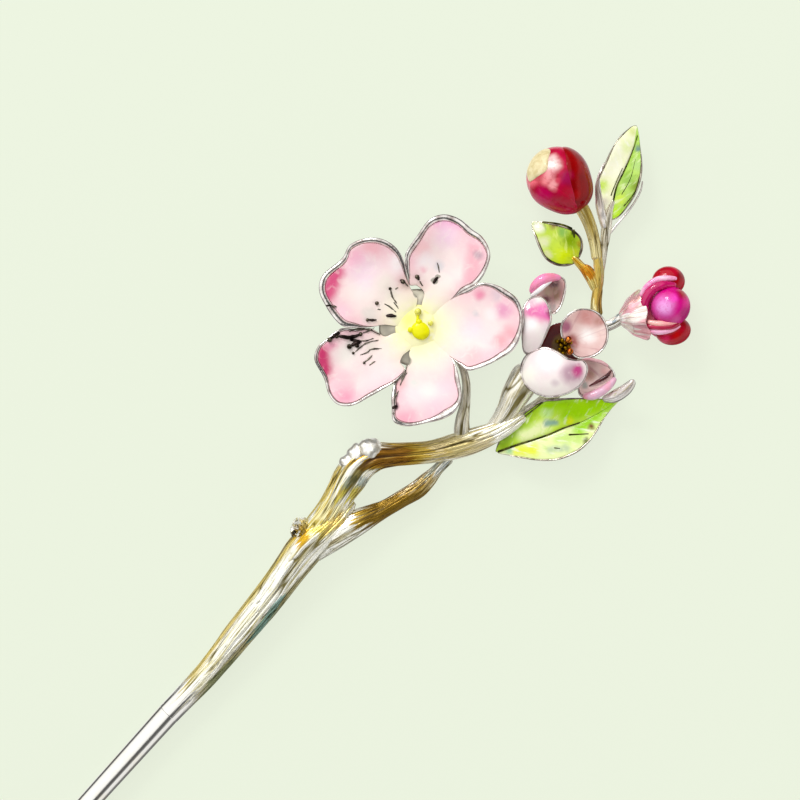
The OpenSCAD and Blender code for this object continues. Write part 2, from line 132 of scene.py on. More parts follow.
def piece(name, points, faces, material, slot, replaces=(), marks=None):
    """Makes a smooth mesh from points in millimetres, which rides on the body.
    marks are named numbers, one for each point, for the material to read."""
    mesh = bpy.data.meshes.new(name)
    mesh.from_pydata((np.asarray(points) * MM).tolist(), [], faces)
    mesh.validate()
    mesh.polygons.foreach_set("use_smooth", [True] * len(mesh.polygons))
    for key, values in (marks or {}).items():
        attribute = mesh.attributes.new(key, "FLOAT", "POINT")
        attribute.data.foreach_set("value", np.asarray(values, np.float32).ravel())
    mesh.materials.append(material)
    made = bpy.data.objects.new(name, mesh)
    bpy.context.scene.collection.objects.link(made)
    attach(made, BODY)
    if replaces:
        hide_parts(*replaces)
    return made


def ring_faces(rings, sides, start=0):
    """Quads between rings of points, each ring going round."""
    i, j = np.meshgrid(np.arange(rings - 1), np.arange(sides), indexing="ij")
    a, b = start + i * sides + j, start + i * sides + (j + 1) % sides
    return np.stack([a, b, b + sides, a + sides], -1).reshape(-1, 4).tolist()


def capped_faces(rings, sides, start=0):
    """ring_faces with a fan to one more point at each end: `start` is the first end's point."""
    first, body = start, start + 1
    last = body + rings * sides
    faces = ring_faces(rings, sides, body)
    faces += [[first, body + (j + 1) % sides, body + j] for j in range(sides)]
    tail = body + (rings - 1) * sides
    faces += [[last, tail + j, tail + (j + 1) % sides] for j in range(sides)]
    return faces


def gather(parts):
    """Joins several (points, faces) into one."""
    points, faces, count = [], [], 0
    for p, f in parts:
        points.append(p)
        faces += [[count + k for k in face] for face in f]
        count += len(p)
    return np.concatenate(points), faces


def tube(path, rings, sides, relief=None, ends=1.0):
    """Swept solid along [x, y, z, radius] points. relief(turn, along) is added to the radius.
    The ends are domes, `ends` times as long as the radius. Returns points, faces and marks."""
    line, along = open_curve(path, rings)
    centre, radius = line[:, :3], line[:, 3]
    ahead = np.gradient(centre, axis=0)
    ahead /= np.linalg.norm(ahead, axis=1)[:, None]
    side = np.cross([0.0, 0.0, 1.0], ahead)
    side /= np.linalg.norm(side, axis=1)[:, None]
    up = np.cross(ahead, side)
    turn = np.arange(sides) / sides
    angle = 2 * math.pi * turn
    swell = relief(turn[None, :], along[:, None]) if relief else np.zeros((rings, sides))
    from_end = np.minimum(along, along[-1] - along) / np.maximum(ends * radius, 1e-6)
    dome = np.sqrt(np.clip(1 - (1 - np.clip(from_end, 0, 1)) ** 2, 0.0025, 1))
    reach = (radius * dome)[:, None] + swell * dome[:, None]
    ring = (np.cos(angle)[None, :, None] * side[:, None, :] + np.sin(angle)[None, :, None] * up[:, None, :])
    body = centre[:, None, :] + reach[:, :, None] * ring
    points = np.concatenate([centre[:1], body.reshape(-1, 3), centre[-1:]])
    girth = np.mean(radius)
    marks = {
        "along": np.concatenate([[0], np.repeat(along, sides), [along[-1]]]),
        "across": np.concatenate([[0], np.tile(girth * np.cos(angle), rings), [0]]),
        "upward": np.concatenate([[0], np.tile(girth * np.sin(angle), rings), [0]]),
    }
    return points, capped_faces(rings, sides), marks


def ball(centre, radius, rings=20, sides=32, squash=(1, 1, 1)):
    """Sphere, or an ellipsoid where squash isn't 1."""
    polar = np.linspace(0, math.pi, rings + 2)[1:-1]
    angle = 2 * math.pi * np.arange(sides) / sides
    body = np.stack([
        np.sin(polar)[:, None] * np.cos(angle),
        np.sin(polar)[:, None] * np.sin(angle),
        np.cos(polar)[:, None] + 0 * angle,
    ], -1).reshape(-1, 3)
    unit = np.concatenate([[[0, 0, 1]], body, [[0, 0, -1]]])
    faces = [face[::-1] for face in capped_faces(rings, sides)]
    return np.asarray(centre) + unit * radius * np.array(squash), faces


def balls(rows, rings, sides):
    """Several spheres in one mesh. rows are (centre, radius)."""
    return gather([ball(centre, radius, rings, sides) for centre, radius in rows])


def lathe(profile, sides, axis, origin):
    """Solid turned about an axis: profile is (radius, height) points from one pole to the other."""
    angle = 2 * math.pi * np.arange(sides) / sides
    inner = np.array(profile[1:-1], float)
    body = np.stack([
        inner[:, :1] * np.cos(angle), inner[:, :1] * np.sin(angle), inner[:, 1:] + 0 * angle,
    ], -1).reshape(-1, 3)
    points = np.concatenate([[[0, 0, profile[0][1]]], body, [[0, 0, profile[-1][1]]]])
    return points @ np.asarray(axis).T + np.asarray(origin), capped_faces(len(inner), sides)


# Rings and sides of a small bead
BEAD_MESH = (20, 28)
# Shares of a ray at which a dish has rings, on its face and on its back
FACE_SHARES = np.concatenate([np.linspace(0.04, 0.9, 22), [0.93, 0.955, 0.975, 0.99, 1.0]])
BACK_SHARES = FACE_SHARES[::-3]
BEAD_ANGLES = np.radians(np.arange(150, -151, -20))


def dish(edge, centre, place, rim, face, back, bead):
    """Closed plate over an outline. edge is the outline's points and centre a point inside it.
    place(points, dz) puts flat points in space, raised by dz. rim is the rim's radius at each edge point.
    face and back give dz at a share of the ray. bead adds the rolled rim itself. Returns points, faces
    and marks."""
    ray = edge - centre
    reach = np.linalg.norm(ray, axis=1)
    unit = ray / reach[:, None]
    plate = np.maximum(reach - 2 * rim, 0.05)
    rows = [(share * plate, face(share) + 0 * rim, share) for share in FACE_SHARES]
    if bead:
        rows += [(reach - rim + rim * np.cos(a), rim * np.sin(a), 1.0) for a in BEAD_ANGLES]
    rows += [(share * plate, back(share) + 0 * rim, share) for share in BACK_SHARES]
    flat = np.concatenate([centre + unit * row[0][:, None] for row in rows])
    lift = np.concatenate([row[1] for row in rows])
    share = np.concatenate([[0], np.repeat([row[2] for row in rows], len(edge)), [0]])
    flat = np.concatenate([[centre], flat, [centre]])
    lift = np.concatenate([[face(0.0)], lift, [back(0.0)]])
    faces = [quad[::-1] for quad in capped_faces(len(rows), len(edge))]
    spoke = np.concatenate([[0], np.tile(np.arange(len(edge)) / len(edge), len(rows)), [0]])
    return place(flat, lift), faces, {"share": share, "spoke": spoke}


# ---------------------------------------------------------------- materials

def tint(code):
    """Linear colour from a hex code."""
    parts = [int(code[k:k + 2], 16) / 255 for k in (1, 3, 5)]
    return tuple(c / 12.92 if c <= 0.04045 else ((c + 0.055) / 1.055) ** 2.4 for c in parts) + (1.0,)


class Shader:
    """Builds one material's nodes."""

    def __init__(self, name):
        self.material = bpy.data.materials.new(name)
        self.material.use_nodes = True
        self.tree = self.material.node_tree
        self.surface = self.tree.nodes["Principled BSDF"]
        position = self.node("ShaderNodeTexCoord").outputs["Object"]
        self.at = self.scaled(position, 1 / MM)

    def put(self, socket, value):
        if isinstance(value, bpy.types.NodeSocket):
            self.tree.links.new(value, socket)
        else:
            socket.default_value = value

    def node(self, kind, inputs=(), **settings):
        made = self.tree.nodes.new(kind)
        for key, value in settings.items():
            setattr(made, key, value)
        for key, value in dict(inputs).items():
            self.put(made.inputs[key], value)
        return made

    def math(self, operation, a, b=0.0):
        return self.node("ShaderNodeMath", {0: a, 1: b}, operation=operation).outputs[0]

    def vector(self, operation, a, b, output=0):
        return self.node("ShaderNodeVectorMath", {0: a, 1: b}, operation=operation).outputs[output]

    def scaled(self, vector, factor):
        return self.node("ShaderNodeVectorMath", {0: vector, 3: factor}, operation="SCALE").outputs[0]

    def mark(self, name):
        return self.node("ShaderNodeAttribute", attribute_name=name).outputs["Fac"]

    def noise(self, vector, scale, detail=3.0, roughness=0.55, warp=0.0):
        return self.node("ShaderNodeTexNoise", {
            "Vector": vector, "Scale": scale, "Detail": detail, "Roughness": roughness, "Distortion": warp,
        }).outputs["Fac"]

    def stretch(self, vector, scale):
        return self.vector("MULTIPLY", vector, scale)

    def joined(self, x, y, z=0.0):
        return self.node("ShaderNodeCombineXYZ", {0: x, 1: y, 2: z}).outputs[0]

    def along_axis(self, vector, axis, start):
        """How far a place lies along a direction from a starting point, in millimetres."""
        offset = self.vector("SUBTRACT", vector, tuple(start))
        return self.vector("DOT_PRODUCT", offset, tuple(axis), "Value")

    def band(self, value, low, high):
        """0 where value is low, 1 where it is high, smooth between."""
        return self.node("ShaderNodeMapRange", {
            "Value": value, "From Min": low, "From Max": high,
        }, interpolation_type="SMOOTHSTEP").outputs[0]

    def between(self, value, low, high):
        """A number from low to high, as value goes from 0 to 1."""
        return self.node("ShaderNodeMapRange", {"Value": value, "To Min": low, "To Max": high}).outputs[0]

    def mix(self, share, a, b, blend="MIX"):
        a = tint(a) if isinstance(a, str) else a
        b = tint(b) if isinstance(b, str) else b
        mixer = self.node("ShaderNodeMix", {0: share, 6: a, 7: b}, data_type="RGBA", blend_type=blend)
        return mixer.outputs[2]

    def warped(self, vector, amount, scale):
        """The vector moved about by up to `amount` millimetres, for uneven edges."""
        noise = self.node("ShaderNodeTexNoise", {"Vector": vector, "Scale": scale, "Detail": 2.0})
        centred = self.vector("SUBTRACT", noise.outputs["Color"], (0.5, 0.5, 0.5))
        return self.vector("ADD", vector, self.scaled(centred, 2 * amount))

    def from_stroke(self, vector, ends):
        """Flat offset of a place from the nearest point of the straight stroke between two (x, y) points."""
        start, span = (*ends[0], 0.0), np.append(np.subtract(ends[1], ends[0]), 0.0)
        offset = self.vector("SUBTRACT", self.stretch(vector, (1, 1, 0)), start)
        share = self.vector("DOT_PRODUCT", offset, tuple(span / (span @ span)), "Value")
        held = self.node("ShaderNodeMath", {0: share, 1: 0.0}, operation="ADD", use_clamp=True).outputs[0]
        return self.vector("ADD", self.scaled(tuple(-span), held), offset)

    def spot(self, vector, where, radius, soft=1.0):
        """1 near a point, falling to 0 at the radius. The last `soft` share of the radius is the fall.
        Where the point has only x and y, height doesn't count. Two (x, y) points stand for a stroke."""
        if np.ndim(where) == 2:
            vector = self.from_stroke(vector, where)
            where = (0.0, 0.0, 0.0)
        elif len(where) == 2:
            vector = self.stretch(vector, (1, 1, 0))
            where = (*where, 0.0)
        gap = self.vector("DISTANCE", vector, tuple(where), "Value")
        return self.band(gap, radius, radius * (1 - soft))

    def bump(self, height, strength, distance=0.05):
        self.put(self.surface.inputs["Normal"], self.node("ShaderNodeBump", {
            "Height": height, "Strength": strength, "Distance": distance * MM,
        }).outputs[0])

    def finish(self, **sockets):
        for key, value in sockets.items():
            name = key.replace("_", " ").title().replace("Ior", "IOR")
            self.put(self.surface.inputs[name], tint(value) if isinstance(value, str) else value)
        return self.material


SILVER, WARM_SILVER = "#F2F0EC", "#F4ECD6"
BARK_METALLIC = 0.62
# Furthest that a patch on bark is smeared either way, and how far the edge of a polished stretch wanders
SMEAR = 6.0
JAGGED_EDGE = 14.0


# A colour spot's row is its place, radius, colour, strength and softness, and these are the last two where
# the row leaves them out
SPOT_DEFAULTS = (0.9, 0.9)


def full_row(row):
    """A spot's place, radius, colour, strength and softness, of which the row may leave out the last two."""
    return (*row, *SPOT_DEFAULTS[len(row) - 3:])


def spots_at(middle, rows):
    """Colour spots whose places are measured from a middle, moved to the part's frame."""
    return [(np.add(place, middle[:2]), *rest) for place, *rest in rows]


def polished_silver(name, roughness=0.09, metal=SILVER):
    """Smooth metal with hairline scratches and a breath of warm tarnish."""
    s = Shader(name)
    cloud = s.noise(s.at, 0.25)
    scratch = s.noise(s.stretch(s.at, (0.6, 9, 9)), 2.2, detail=4)
    colour = s.mix(s.band(cloud, 0.4, 0.75), metal, WARM_SILVER)
    s.bump(scratch, 0.25, 0.02)
    rough = s.between(s.band(scratch, 0.35, 0.8), roughness, roughness + 0.12)
    return s.finish(base_color=colour, metallic=1.0, roughness=rough)


def bark_metal(name, patches=(), crest="#FFFEF6", wash="#F2ECC8", shade="#6E6638", polished=None,
               run=(1, 0, 0)):
    """Cast bark: pale metal with worn gilding in streaks that run along it, and thin dark grooves.
    patches are spot rows, whose edges break up along the streaks, smeared in the direction run.
    polished gives the two X between which bare polished metal turns into bark."""
    s = Shader(name)
    skin = s.joined(s.mark("across"), s.mark("upward"), s.mark("along"))
    streak = s.noise(s.stretch(skin, (1.9, 1.9, 0.13)), 1.0, detail=3, warp=0.5)
    line = s.noise(s.stretch(skin, (2.7, 2.7, 0.11)), 1.0, detail=2, warp=0.7)
    hair = s.noise(s.stretch(skin, (6, 6, 0.5)), 1.0, detail=3)
    colour = s.mix(s.band(streak, 0.46, 0.62), crest, wash)
    place = s.vector("ADD", s.at, s.scaled(run, s.between(streak, -SMEAR, SMEAR)))
    for where, radius, stain_and_shade, strength, _ in map(full_row, patches):
        ragged = s.math("ADD", s.spot(place, where, radius, 0.95), s.math("MULTIPLY", streak, 1.3))
        colour = s.mix(s.math("MULTIPLY", s.band(ragged, 0.75, 1.25), strength), colour, stain_and_shade)
    colour = s.mix(s.band(hair, 0.5, 0.75), colour, "#DDD8B8", "MULTIPLY")
    colour = s.mix(s.math("MULTIPLY", s.band(line, 0.58, 0.66), 0.8), colour, shade, "MULTIPLY")
    groove = s.mark("groove")
    colour = s.mix(s.band(groove, 0.3, 0.9), colour, "#857B4C", "MULTIPLY")
    relief = s.math("ADD", hair, s.math("MULTIPLY", line, -1.5))
    rough = s.between(s.math("ADD", groove, s.math("MULTIPLY", hair, 0.5)), 0.2, 0.42)
    metallic = BARK_METALLIC
    if polished:
        reach = s.along_axis(s.at, (1, 0, 0), (0, 0, 0))
        jagged = s.math("MULTIPLY", s.math("SUBTRACT", streak, 0.5), JAGGED_EDGE)
        worn = s.band(s.math("ADD", reach, jagged), *polished)
        colour = s.mix(worn, SILVER, colour)
        rough = s.math("MULTIPLY", rough, s.between(worn, 0.3, 1.0))
        metallic = s.between(worn, 1.0, BARK_METALLIC)
        relief = s.math("MULTIPLY", relief, worn)
    s.bump(relief, 0.6, 0.1)
    return s.finish(base_color=colour, metallic=metallic, roughness=rough)


def rim_metal(name, light, dark):
    """Rolled edges and backs: bright metal with small dents and a darker cast in places."""
    s = Shader(name)
    cloud = s.noise(s.at, 0.8, detail=3)
    colour = s.mix(s.band(cloud, 0.35, 0.7), light, dark)
    s.bump(s.noise(s.at, 2.6, detail=2), 0.5, 0.06)
    return s.finish(base_color=colour, metallic=1.0, roughness=s.between(cloud, 0.06, 0.2))


def enamel(name, base, second, spots=(), roughness=0.16, extra=None, cloud_scale=0.16, edge=None,
           shine=0.5):
    """Glassy enamel with cloudy colour. spots are spot rows. edge is a colour that it deepens to near a
    plate's rim. extra(shader, colour) may add to the colour. shine is the share of the clear top coat."""
    s = Shader(name)
    place = s.warped(s.at, 0.5, 0.5)
    cloud = s.noise(s.at, cloud_scale, detail=3, warp=0.6)
    colour = s.mix(s.band(cloud, 0.35, 0.68), base, second)
    mottle = s.band(s.noise(s.at, cloud_scale * 5, detail=4, warp=0.8), 0.5, 0.7)
    if edge:
        colour = s.mix(s.math("MULTIPLY", s.band(s.mark("share"), 0.45, 1.0), 0.85), colour, edge)
    for where, radius, shade, strength, soft in map(full_row, spots):
        share = s.math("MULTIPLY", s.spot(place, where, radius, soft), strength)
        colour = s.mix(share, colour, shade)
    colour = s.mix(s.math("MULTIPLY", mottle, 0.35), colour, second)
    if extra:
        colour = extra(s, colour)
    s.bump(s.noise(s.at, 0.45, detail=2), 0.35, 0.25)
    rough = s.between(s.noise(s.at, 1.3, detail=3), roughness * 0.6, roughness * 1.5)
    return s.finish(base_color=colour, roughness=rough, coat_weight=shine, coat_roughness=0.05,
                    specular_ior_level=0.15 + 0.5 * shine)


def plain_gold(name, light, dark, roughness=0.18):
    """Beads and filaments in gold tone."""
    s = Shader(name)
    cloud = s.noise(s.at, 1.6, detail=3)
    s.bump(s.noise(s.at, 4.0, detail=2), 0.4, 0.04)
    rough = s.between(cloud, roughness * 0.7, roughness * 1.8)
    return s.finish(base_color=s.mix(s.band(cloud, 0.35, 0.65), light, dark), metallic=1.0, roughness=rough)


def build_plate(name, outline, origin, height, rim, glass, nodes, glaze=0.3, thick=0.5, count=150,
                glass_slot="pale_pink_enamel", metal=None):
    """Metal plate with a rolled rim, and the enamel that fills it. outline is flat points, measured from
    origin. height(points) is the plate's level there and rim(points) the rim's radius. nodes are the CAD
    nodes of the metal and of the enamel, either of which may be None. glaze and thick are how thick the
    enamel and the metal are, and count the points round the outline."""
    edge = closed_curve(outline, count)
    middle = np.mean(outline, axis=0)
    rims = rim(edge)

    def place(flat, lift):
        return np.column_stack([flat + origin[:2], origin[2] + height(flat) + lift])

    points, faces, marks = dish(edge, middle, place, rims,
                                lambda f: 0.0, lambda f: -thick + 0.1 * f**4, True)
    piece(f"{name}_rim", points, faces, metal or SILVER_RIM, "silver_rim", [nodes[0]] if nodes[0] else [],
          marks)
    points, faces, marks = dish(edge, middle, place, rims,
                                lambda f: glaze - 0.4 * glaze * f**6, lambda f: 0.002, False)
    piece(f"{name}_glass", points, faces, glass, glass_slot, [nodes[1]] if nodes[1] else [], marks)


# ---------------------------------------------------------------- shank and twigs

SHANK_SIDES, SHANK_RINGS, POINT_RINGS = 96, 180, 12
# Space between the last ring of the rounded point and the first of the taper
POINT_GAP = 0.3
# Share of its radius by which the hand-turned shank wanders
SHANK_WANDER = 0.012
STRAIGHT_HALF = 14.0
STRAIGHT_R = 1.45
SHOULDER_R = 1.62
POINT_R = 0.8


def build_shank():
    """Tapered rod with a rounded point, turned by hand, so its radius wanders a little."""
    low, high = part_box("shank_rod")
    first, last = low.x / MM, high.x / MM
    point = first + POINT_R * (1 - np.cos(np.linspace(0, math.pi / 2, POINT_RINGS)))
    heights = np.concatenate([point, np.linspace(first + POINT_R + POINT_GAP, last, SHANK_RINGS)])
    radius = np.interp(heights, [first + POINT_R, -STRAIGHT_HALF, STRAIGHT_HALF, last],
                       [POINT_R, STRAIGHT_R, STRAIGHT_R, SHOULDER_R])
    cap = np.clip((heights - first) / POINT_R, 0, 1)
    radius = radius * np.sqrt(np.clip(1 - (1 - cap) ** 2, 0, 1))
    radius *= 1 - SHANK_WANDER * noise2(heights * 0.12, 0.5, 64, 3)
    profile = [(0, first)] + list(zip(radius[1:], heights[1:])) + [(0, last)]
    axis = np.array([[0, 0, 1], [0, 1, 0], [-1, 0, 0]])
    points, faces = lathe(profile, SHANK_SIDES, axis, (0, 0, 0))
    piece("shank", points, faces, polished_silver("shank_silver", 0.06), "polished_silver", ["shank_rod"])


# Routes of the twigs, each point being (x, y, z, radius)
STEM = [(31.2, 0, 0, 1.63), (34, -0.1, 0, 1.66), (40, -0.25, 0.1, 1.84), (46, 0.05, 0.3, 2.1),
        (52, 0.4, 0.4, 2.25), (57, 0.9, 0.6, 2.4), (61, 1.25, 0.9, 2.65), (64.5, 1.1, 1, 2.4),
        (67.5, 0.8, 1, 1.8), (69.5, 0.7, 1, 1.2), (70.8, 0.6, 1, 0.6)]
UPPER = [(60, 1.5, 0.9, 1.6), (63.5, 1.8, 1, 2.05), (67, 2.1, 1.15, 2.1), (70, 2.7, 1.3, 2.15),
         (72.6, 3.2, 1.4, 2.45), (75, 3.4, 1.6, 2.35), (77.4, 2.6, 1.6, 2.1), (79.3, 0.9, 1.6, 1.75),
         (81.4, -1.1, 1.5, 1.65), (83.2, -2.75, 1.4, 1.65), (85.6, -4.5, 1.3, 1.8), (88.4, -6.2, 1.3, 1.8),
         (92, -7.9, 1.2, 1.5), (96, -9, 1, 1.2)]
LOWER = [(60.5, 0.4, 0.7, 1.5), (64, -0.2, 0.6, 1.95), (67, -1, 0.5, 2.05), (69.4, -1.9, 0.4, 1.8),
         (71.2, -2.6, 0.3, 1.5), (73.2, -3.35, 0.2, 1.25), (75.6, -4.1, 0.1, 1.25), (78, -4.9, 0, 1.35),
         (80, -5.1, 0.1, 1.2), (82, -5.1, 0.35, 0.85), (84.5, -5.2, 0.7, 0.8)]
REAR = [(95.5, -9, 0.8, 1.1), (100, -10, 0.4, 1), (105, -10, 0.2, 0.9), (110, -9, 0.3, 0.9),
        (113, -7.6, 0.6, 0.9)]
BLOSSOM_STALK = [(86.8, -5, 0.9, 0.9), (88.1, -4, 1.6, 1.15), (89.4, -3, 2.3, 1), (91.6, -1.6, 3, 0.7),
                 (93.6, 0.2, 2.9, 0.6), (95, 2.6, 2.5, 0.55), (95.3, 6, 2, 0.6), (94.8, 9.5, 1.6, 0.8)]
HALF_OPEN_STALK = [(90.4, -7.1, 0.8, 1), (92.6, -7.1, 1.1, 1.35), (94.7, -6.8, 1.5, 1.7),
                   (96.8, -6.2, 1.9, 2.05), (99.2, -5.7, 2.1, 2.2), (101.5, -5.2, 2.3, 2.1)]
TWIG = [(112.6, -7.4, 0.6, 0.95), (114, -6, 0.8, 0.8), (115.8, -4.7, 0.9, 0.75), (117.4, -3.4, 1, 0.85),
        (119.4, -1.2, 1.15, 0.7)]
RED_BUD_STALK = [(118.4, -2.2, 1.1, 0.85), (120, -0.3, 1.3, 0.85), (121.3, 1.7, 1.7, 0.9),
                 (122.2, 3.8, 2.2, 1), (122.7, 6, 2.6, 1.1)]
LONG_LEAF_STALK = [(117.2, -3.9, 0.9, 0.45), (118.9, -2.8, 0.8, 0.5), (120.4, -1.7, 0.8, 0.6),
                   (122.2, -0.4, 0.9, 0.75), (124.4, 1.1, 1, 0.7), (126.4, 1.9, 1.3, 0.4)]
SMALL_LEAF_STALK = [(115.2, -4.9, 0.9, 0.6), (116, -3.4, 1, 0.9), (116.4, -2.1, 1.1, 0.98),
                    (116.4, -0.8, 1.2, 0.72), (116.5, 0.9, 1.3, 0.6)]
MAGENTA_STALK = [(112, -8.9, 0.7, 0.9), (113.4, -9.6, 1.1, 0.85), (114.8, -10, 1.6, 0.9),
                 (116, -10.6, 2, 1.1)]

# Worn gilding, stains and tarnish on the stem and its branches
PATCHES = [
    ((66, 2.6), 4.6, "#F3E8A4", 0.8), ((62.6, 2.9), 2.0, "#CFA41C", 1.0), ((65.2, 1.5), 1.7, "#CDB84C"),
    ((67.4, 0.4), 2.4, "#DDBE60"), ((68.4, -2.0), 1.9, "#B09A36"), ((71.2, 1.8), 2.2, "#D8C83A"),
    (((66, 3.9), (72.4, 5.2)), 1.3, "#D8BE4C"), ((72.5, 0.9), 1.6, "#A8922E", 0.7),
    ((73.2, 2.1), 1.5, "#8EA29C", 0.7), ((76.4, 1.6), 1.4, "#8FA79C", 0.8),
    ((76.2, 2.9), 1.7, "#C09A2E", 1.0), (((77.6, 2), (81.4, -1.2)), 2.9, "#B08A1C", 1.0),
    (((77.8, 2.2), (79.6, 0.2)), 2.2, "#8C5E06", 1.0), (((82, -1.6), (86, -4.6)), 2.2, "#C9AC48", 0.75),
    (((84.6, -4.4), (89, -7.4)), 1.9, "#CDB254", 0.6), ((86.6, -4.4), 3.0, "#E4D69C", 0.6),
]
LOWER_PATCHES = [
    (((70.4, -2), (76.8, -5)), 3.0, "#86660F", 1.0), ((69.4, -1.4), 1.8, "#B99A38", 0.8),
    ((77.5, -5.4), 2.4, "#8A6C1E", 1.0), ((76.4, -3.4), 1.4, "#D0B888"), ((79.4, -5.0), 2.2, "#AE9148"),
    ((82.1, -5.2), 1.6, "#7C8C8E", 0.7),
]
# The stem adds a gold strip along its upper edge, and olive and teal strips along its lower edge, which make
# that side darker.
STEM_PATCHES = PATCHES + [
    (((37, 1.7), (61, 3.9)), 1.5, "#D6BE5C"), (((36, -1.8), (60, -1.5)), 1.3, "#A2975A", 0.85),
    (((47.5, -1.6), (53.5, -1.0)), 0.75, "#5E9C9C", 0.7), (((38, -1.6), (43, -1.9)), 0.9, "#6C7A54", 0.7),
]


def bark(turn, along, depth, ridges, seed, fade=None):
    """Height of cast bark and how deep in a groove each place is: fine ridges that run far along the twig,
    drift a little round it and part or join here and there."""
    drift = 0.05 * (noise2(along * 0.09, 0.5, 64, seed) - 0.5)
    waver = 0.02 * (noise2(turn * 5, along / 6, 5, seed + 4) - 0.5)
    t = turn + (drift + waver)
    coarse = 1 - np.abs(2 * noise2(t * ridges, along / 14.0, ridges, seed) - 1)
    fine = 1 - np.abs(2 * noise2(t * 2 * ridges, along / 8.0, 2 * ridges, seed + 1) - 1)
    hair = noise2(t * 4 * ridges, along / 5.0, 4 * ridges, seed + 3)
    groove = np.clip(0.9 * coarse**11 + 0.7 * fine**14, 0, 1)
    lumps = noise2(turn * 3, along / 5.0, 3, seed + 2) - 0.6
    if fade is not None:
        groove, hair, lumps = groove * fade, hair * fade, lumps * fade
    return depth * (0.9 * lumps - groove - 0.3 * hair), groove


def build_twig(name, node, path, rings, sides, material, slot, depth=0.16, ridges=12, seed=1, fade=None,
               ends=0.8):
    """A bark-covered twig, which stands for a CAD node."""
    kept = {}

    def relief(turn, along):
        height, groove = bark(turn, along, depth, ridges, seed, fade(turn, along) if fade else None)
        kept["groove"] = groove
        return height

    points, faces, marks = tube(path, rings, sides, relief, ends)
    marks["groove"] = np.concatenate([[0], kept["groove"].ravel(), [0]])
    piece(name, points, faces, material, slot, [node], marks)


def ragged_start(turn, along):
    """0 where the stem leaves the polished shank, rising to 1 along an uneven edge."""
    return smooth((along - 1 - 6 * noise2(turn * 9, 0.3, 9, 5)) / 6)


def build_twigs():
    """Stem, branches and stalks."""
    stem = bark_metal("stem_bark", STEM_PATCHES, polished=(32.5, 38))
    upper = bark_metal("upper_bark", PATCHES, run=(0.7, -0.7, 0))
    lower = bark_metal("lower_bark", LOWER_PATCHES, run=(0.85, -0.5, 0))
    rear = bark_metal("rear_bark")
    grey = bark_metal("stalk_metal", crest="#EFEBDD", wash="#CFC8B4", shade="#8A7F66")
    cream = bark_metal("cream_stalk", [((97, -6.6), 1.6, "#D8D0B4"), ((98.3, -6.6), 1.2, "#C4BA98")],
                       "#FFFCF2", "#F8F2E0", "#C8BE9C")
    gilt = bark_metal("twig_gold", [((113.6, -8.2), 1.1, "#5A1408", 1.0), ((115, -5.5), 2.4, "#C9A84A")],
                      "#EADDA4", "#CDB255", "#7E6424")
    amber = bark_metal("amber_stalk", [((116.4, -2.2), 1.9, "#C87F00", 1.0)], "#F2DE8A", "#DDB02C",
                       "#A87414")
    pale = bark_metal("pale_stalk", [((113.6, -9.2), 0.9, "#8FA4B4")], "#FAF8F4", "#E9DFD8", "#9A8F84")
    build_twig("stem", "bark_stem", STEM, 420, 176, stem, "gilt_bark", 0.2, 19, 11, ragged_start, 0.05)
    # Name, CAD node, route, rings, sides, material, slot, depth of the grooves, ridges, seed
    for row in (
        ("upper_branch_bark", "upper_branch", UPPER, 420, 144, upper, "gilt_bark", 0.2, 16, 23),
        ("lower_branch_bark", "lower_branch", LOWER, 300, 112, lower, "gilt_bark", 0.18, 13, 37),
        ("rear_branch_bark", "rear_branch", REAR, 160, 64, rear, "gilt_bark", 0.12, 8, 41),
        ("open_blossom_stalk", "blossom_stalk", BLOSSOM_STALK, 220, 64, grey, "silver_bark", 0.13, 8, 53),
        ("half_open_stalk_bark", "half_open_stalk", HALF_OPEN_STALK, 180, 96, cream, "silver_bark", 0.16, 9,
         59),
        ("twig_bark", "twig_stem", TWIG, 140, 56, gilt, "gilt_bark", 0.11, 6, 61),
        ("red_bud_stalk_bark", "red_bud_stalk", RED_BUD_STALK, 150, 56, gilt, "gilt_bark", 0.12, 7, 67),
        ("long_leaf_stalk_bark", "long_leaf_stalk", LONG_LEAF_STALK, 140, 48, grey, "silver_bark", 0.1, 5,
         71),
        ("small_leaf_stalk_bark", "small_leaf_stalk", SMALL_LEAF_STALK, 140, 56, amber, "gilt_bark", 0.34,
         6, 73),
        ("magenta_bud_stalk_bark", "magenta_bud_stalk", MAGENTA_STALK, 110, 56, pale, "silver_bark", 0.12,
         6, 79),
    ):
        build_twig(*row)


def position_marks(points, centre):
    """Marks that let bark_metal follow a lump's own shape."""
    offset = np.asarray(points) - centre
    return {"across": offset[:, 0], "upward": offset[:, 1], "along": offset[:, 2] * 4,
            "groove": 0 * offset[:, 0]}


# Half section of the stub's collar: (radius, height)
STUB_WALL = [(0, -1.1), (1.3, -1.1), (1.6, -0.2), (1.45, 0.5), (1.1, 0.8), (0.75, 0.7), (0.5, 0), (0, -0.3)]
STUB_DENT = 0.45


def build_stub():
    """The hollow stub on the stem's side, a torn collar round a shallow hole whose darkness is painted shade.
    """
    mid = middle_of("cut_stub") + [0.3, -0.1, 0.2]
    rounded, _ = open_curve(STUB_WALL, 44)
    turn = turned(52, 118)
    points, faces = lathe(rounded.tolist(), 64, turn, mid)
    wobble = noise2(points[:, 0] * 1.7, points[:, 1] * 1.7 + points[:, 2], 64, 5) - 0.5
    points = points + STUB_DENT * wobble[:, None]
    hole = mid + turn @ np.array([0, 0, 0.1])
    # The near-black spot at the hole is painted shade in the hollow.
    stub = bark_metal("stub_bark", [((64.2, 3.4), 1.5, "#CDB04C"), ((62.6, 3.2), 1.6, "#A8861C", 1.0),
                                    (hole, 1.0, "#17130A", 1.0)], wash="#E8DCA0")
    piece("cut_stub_collar", points, faces, stub, "gilt_bark", ["cut_stub"], position_marks(points, mid))


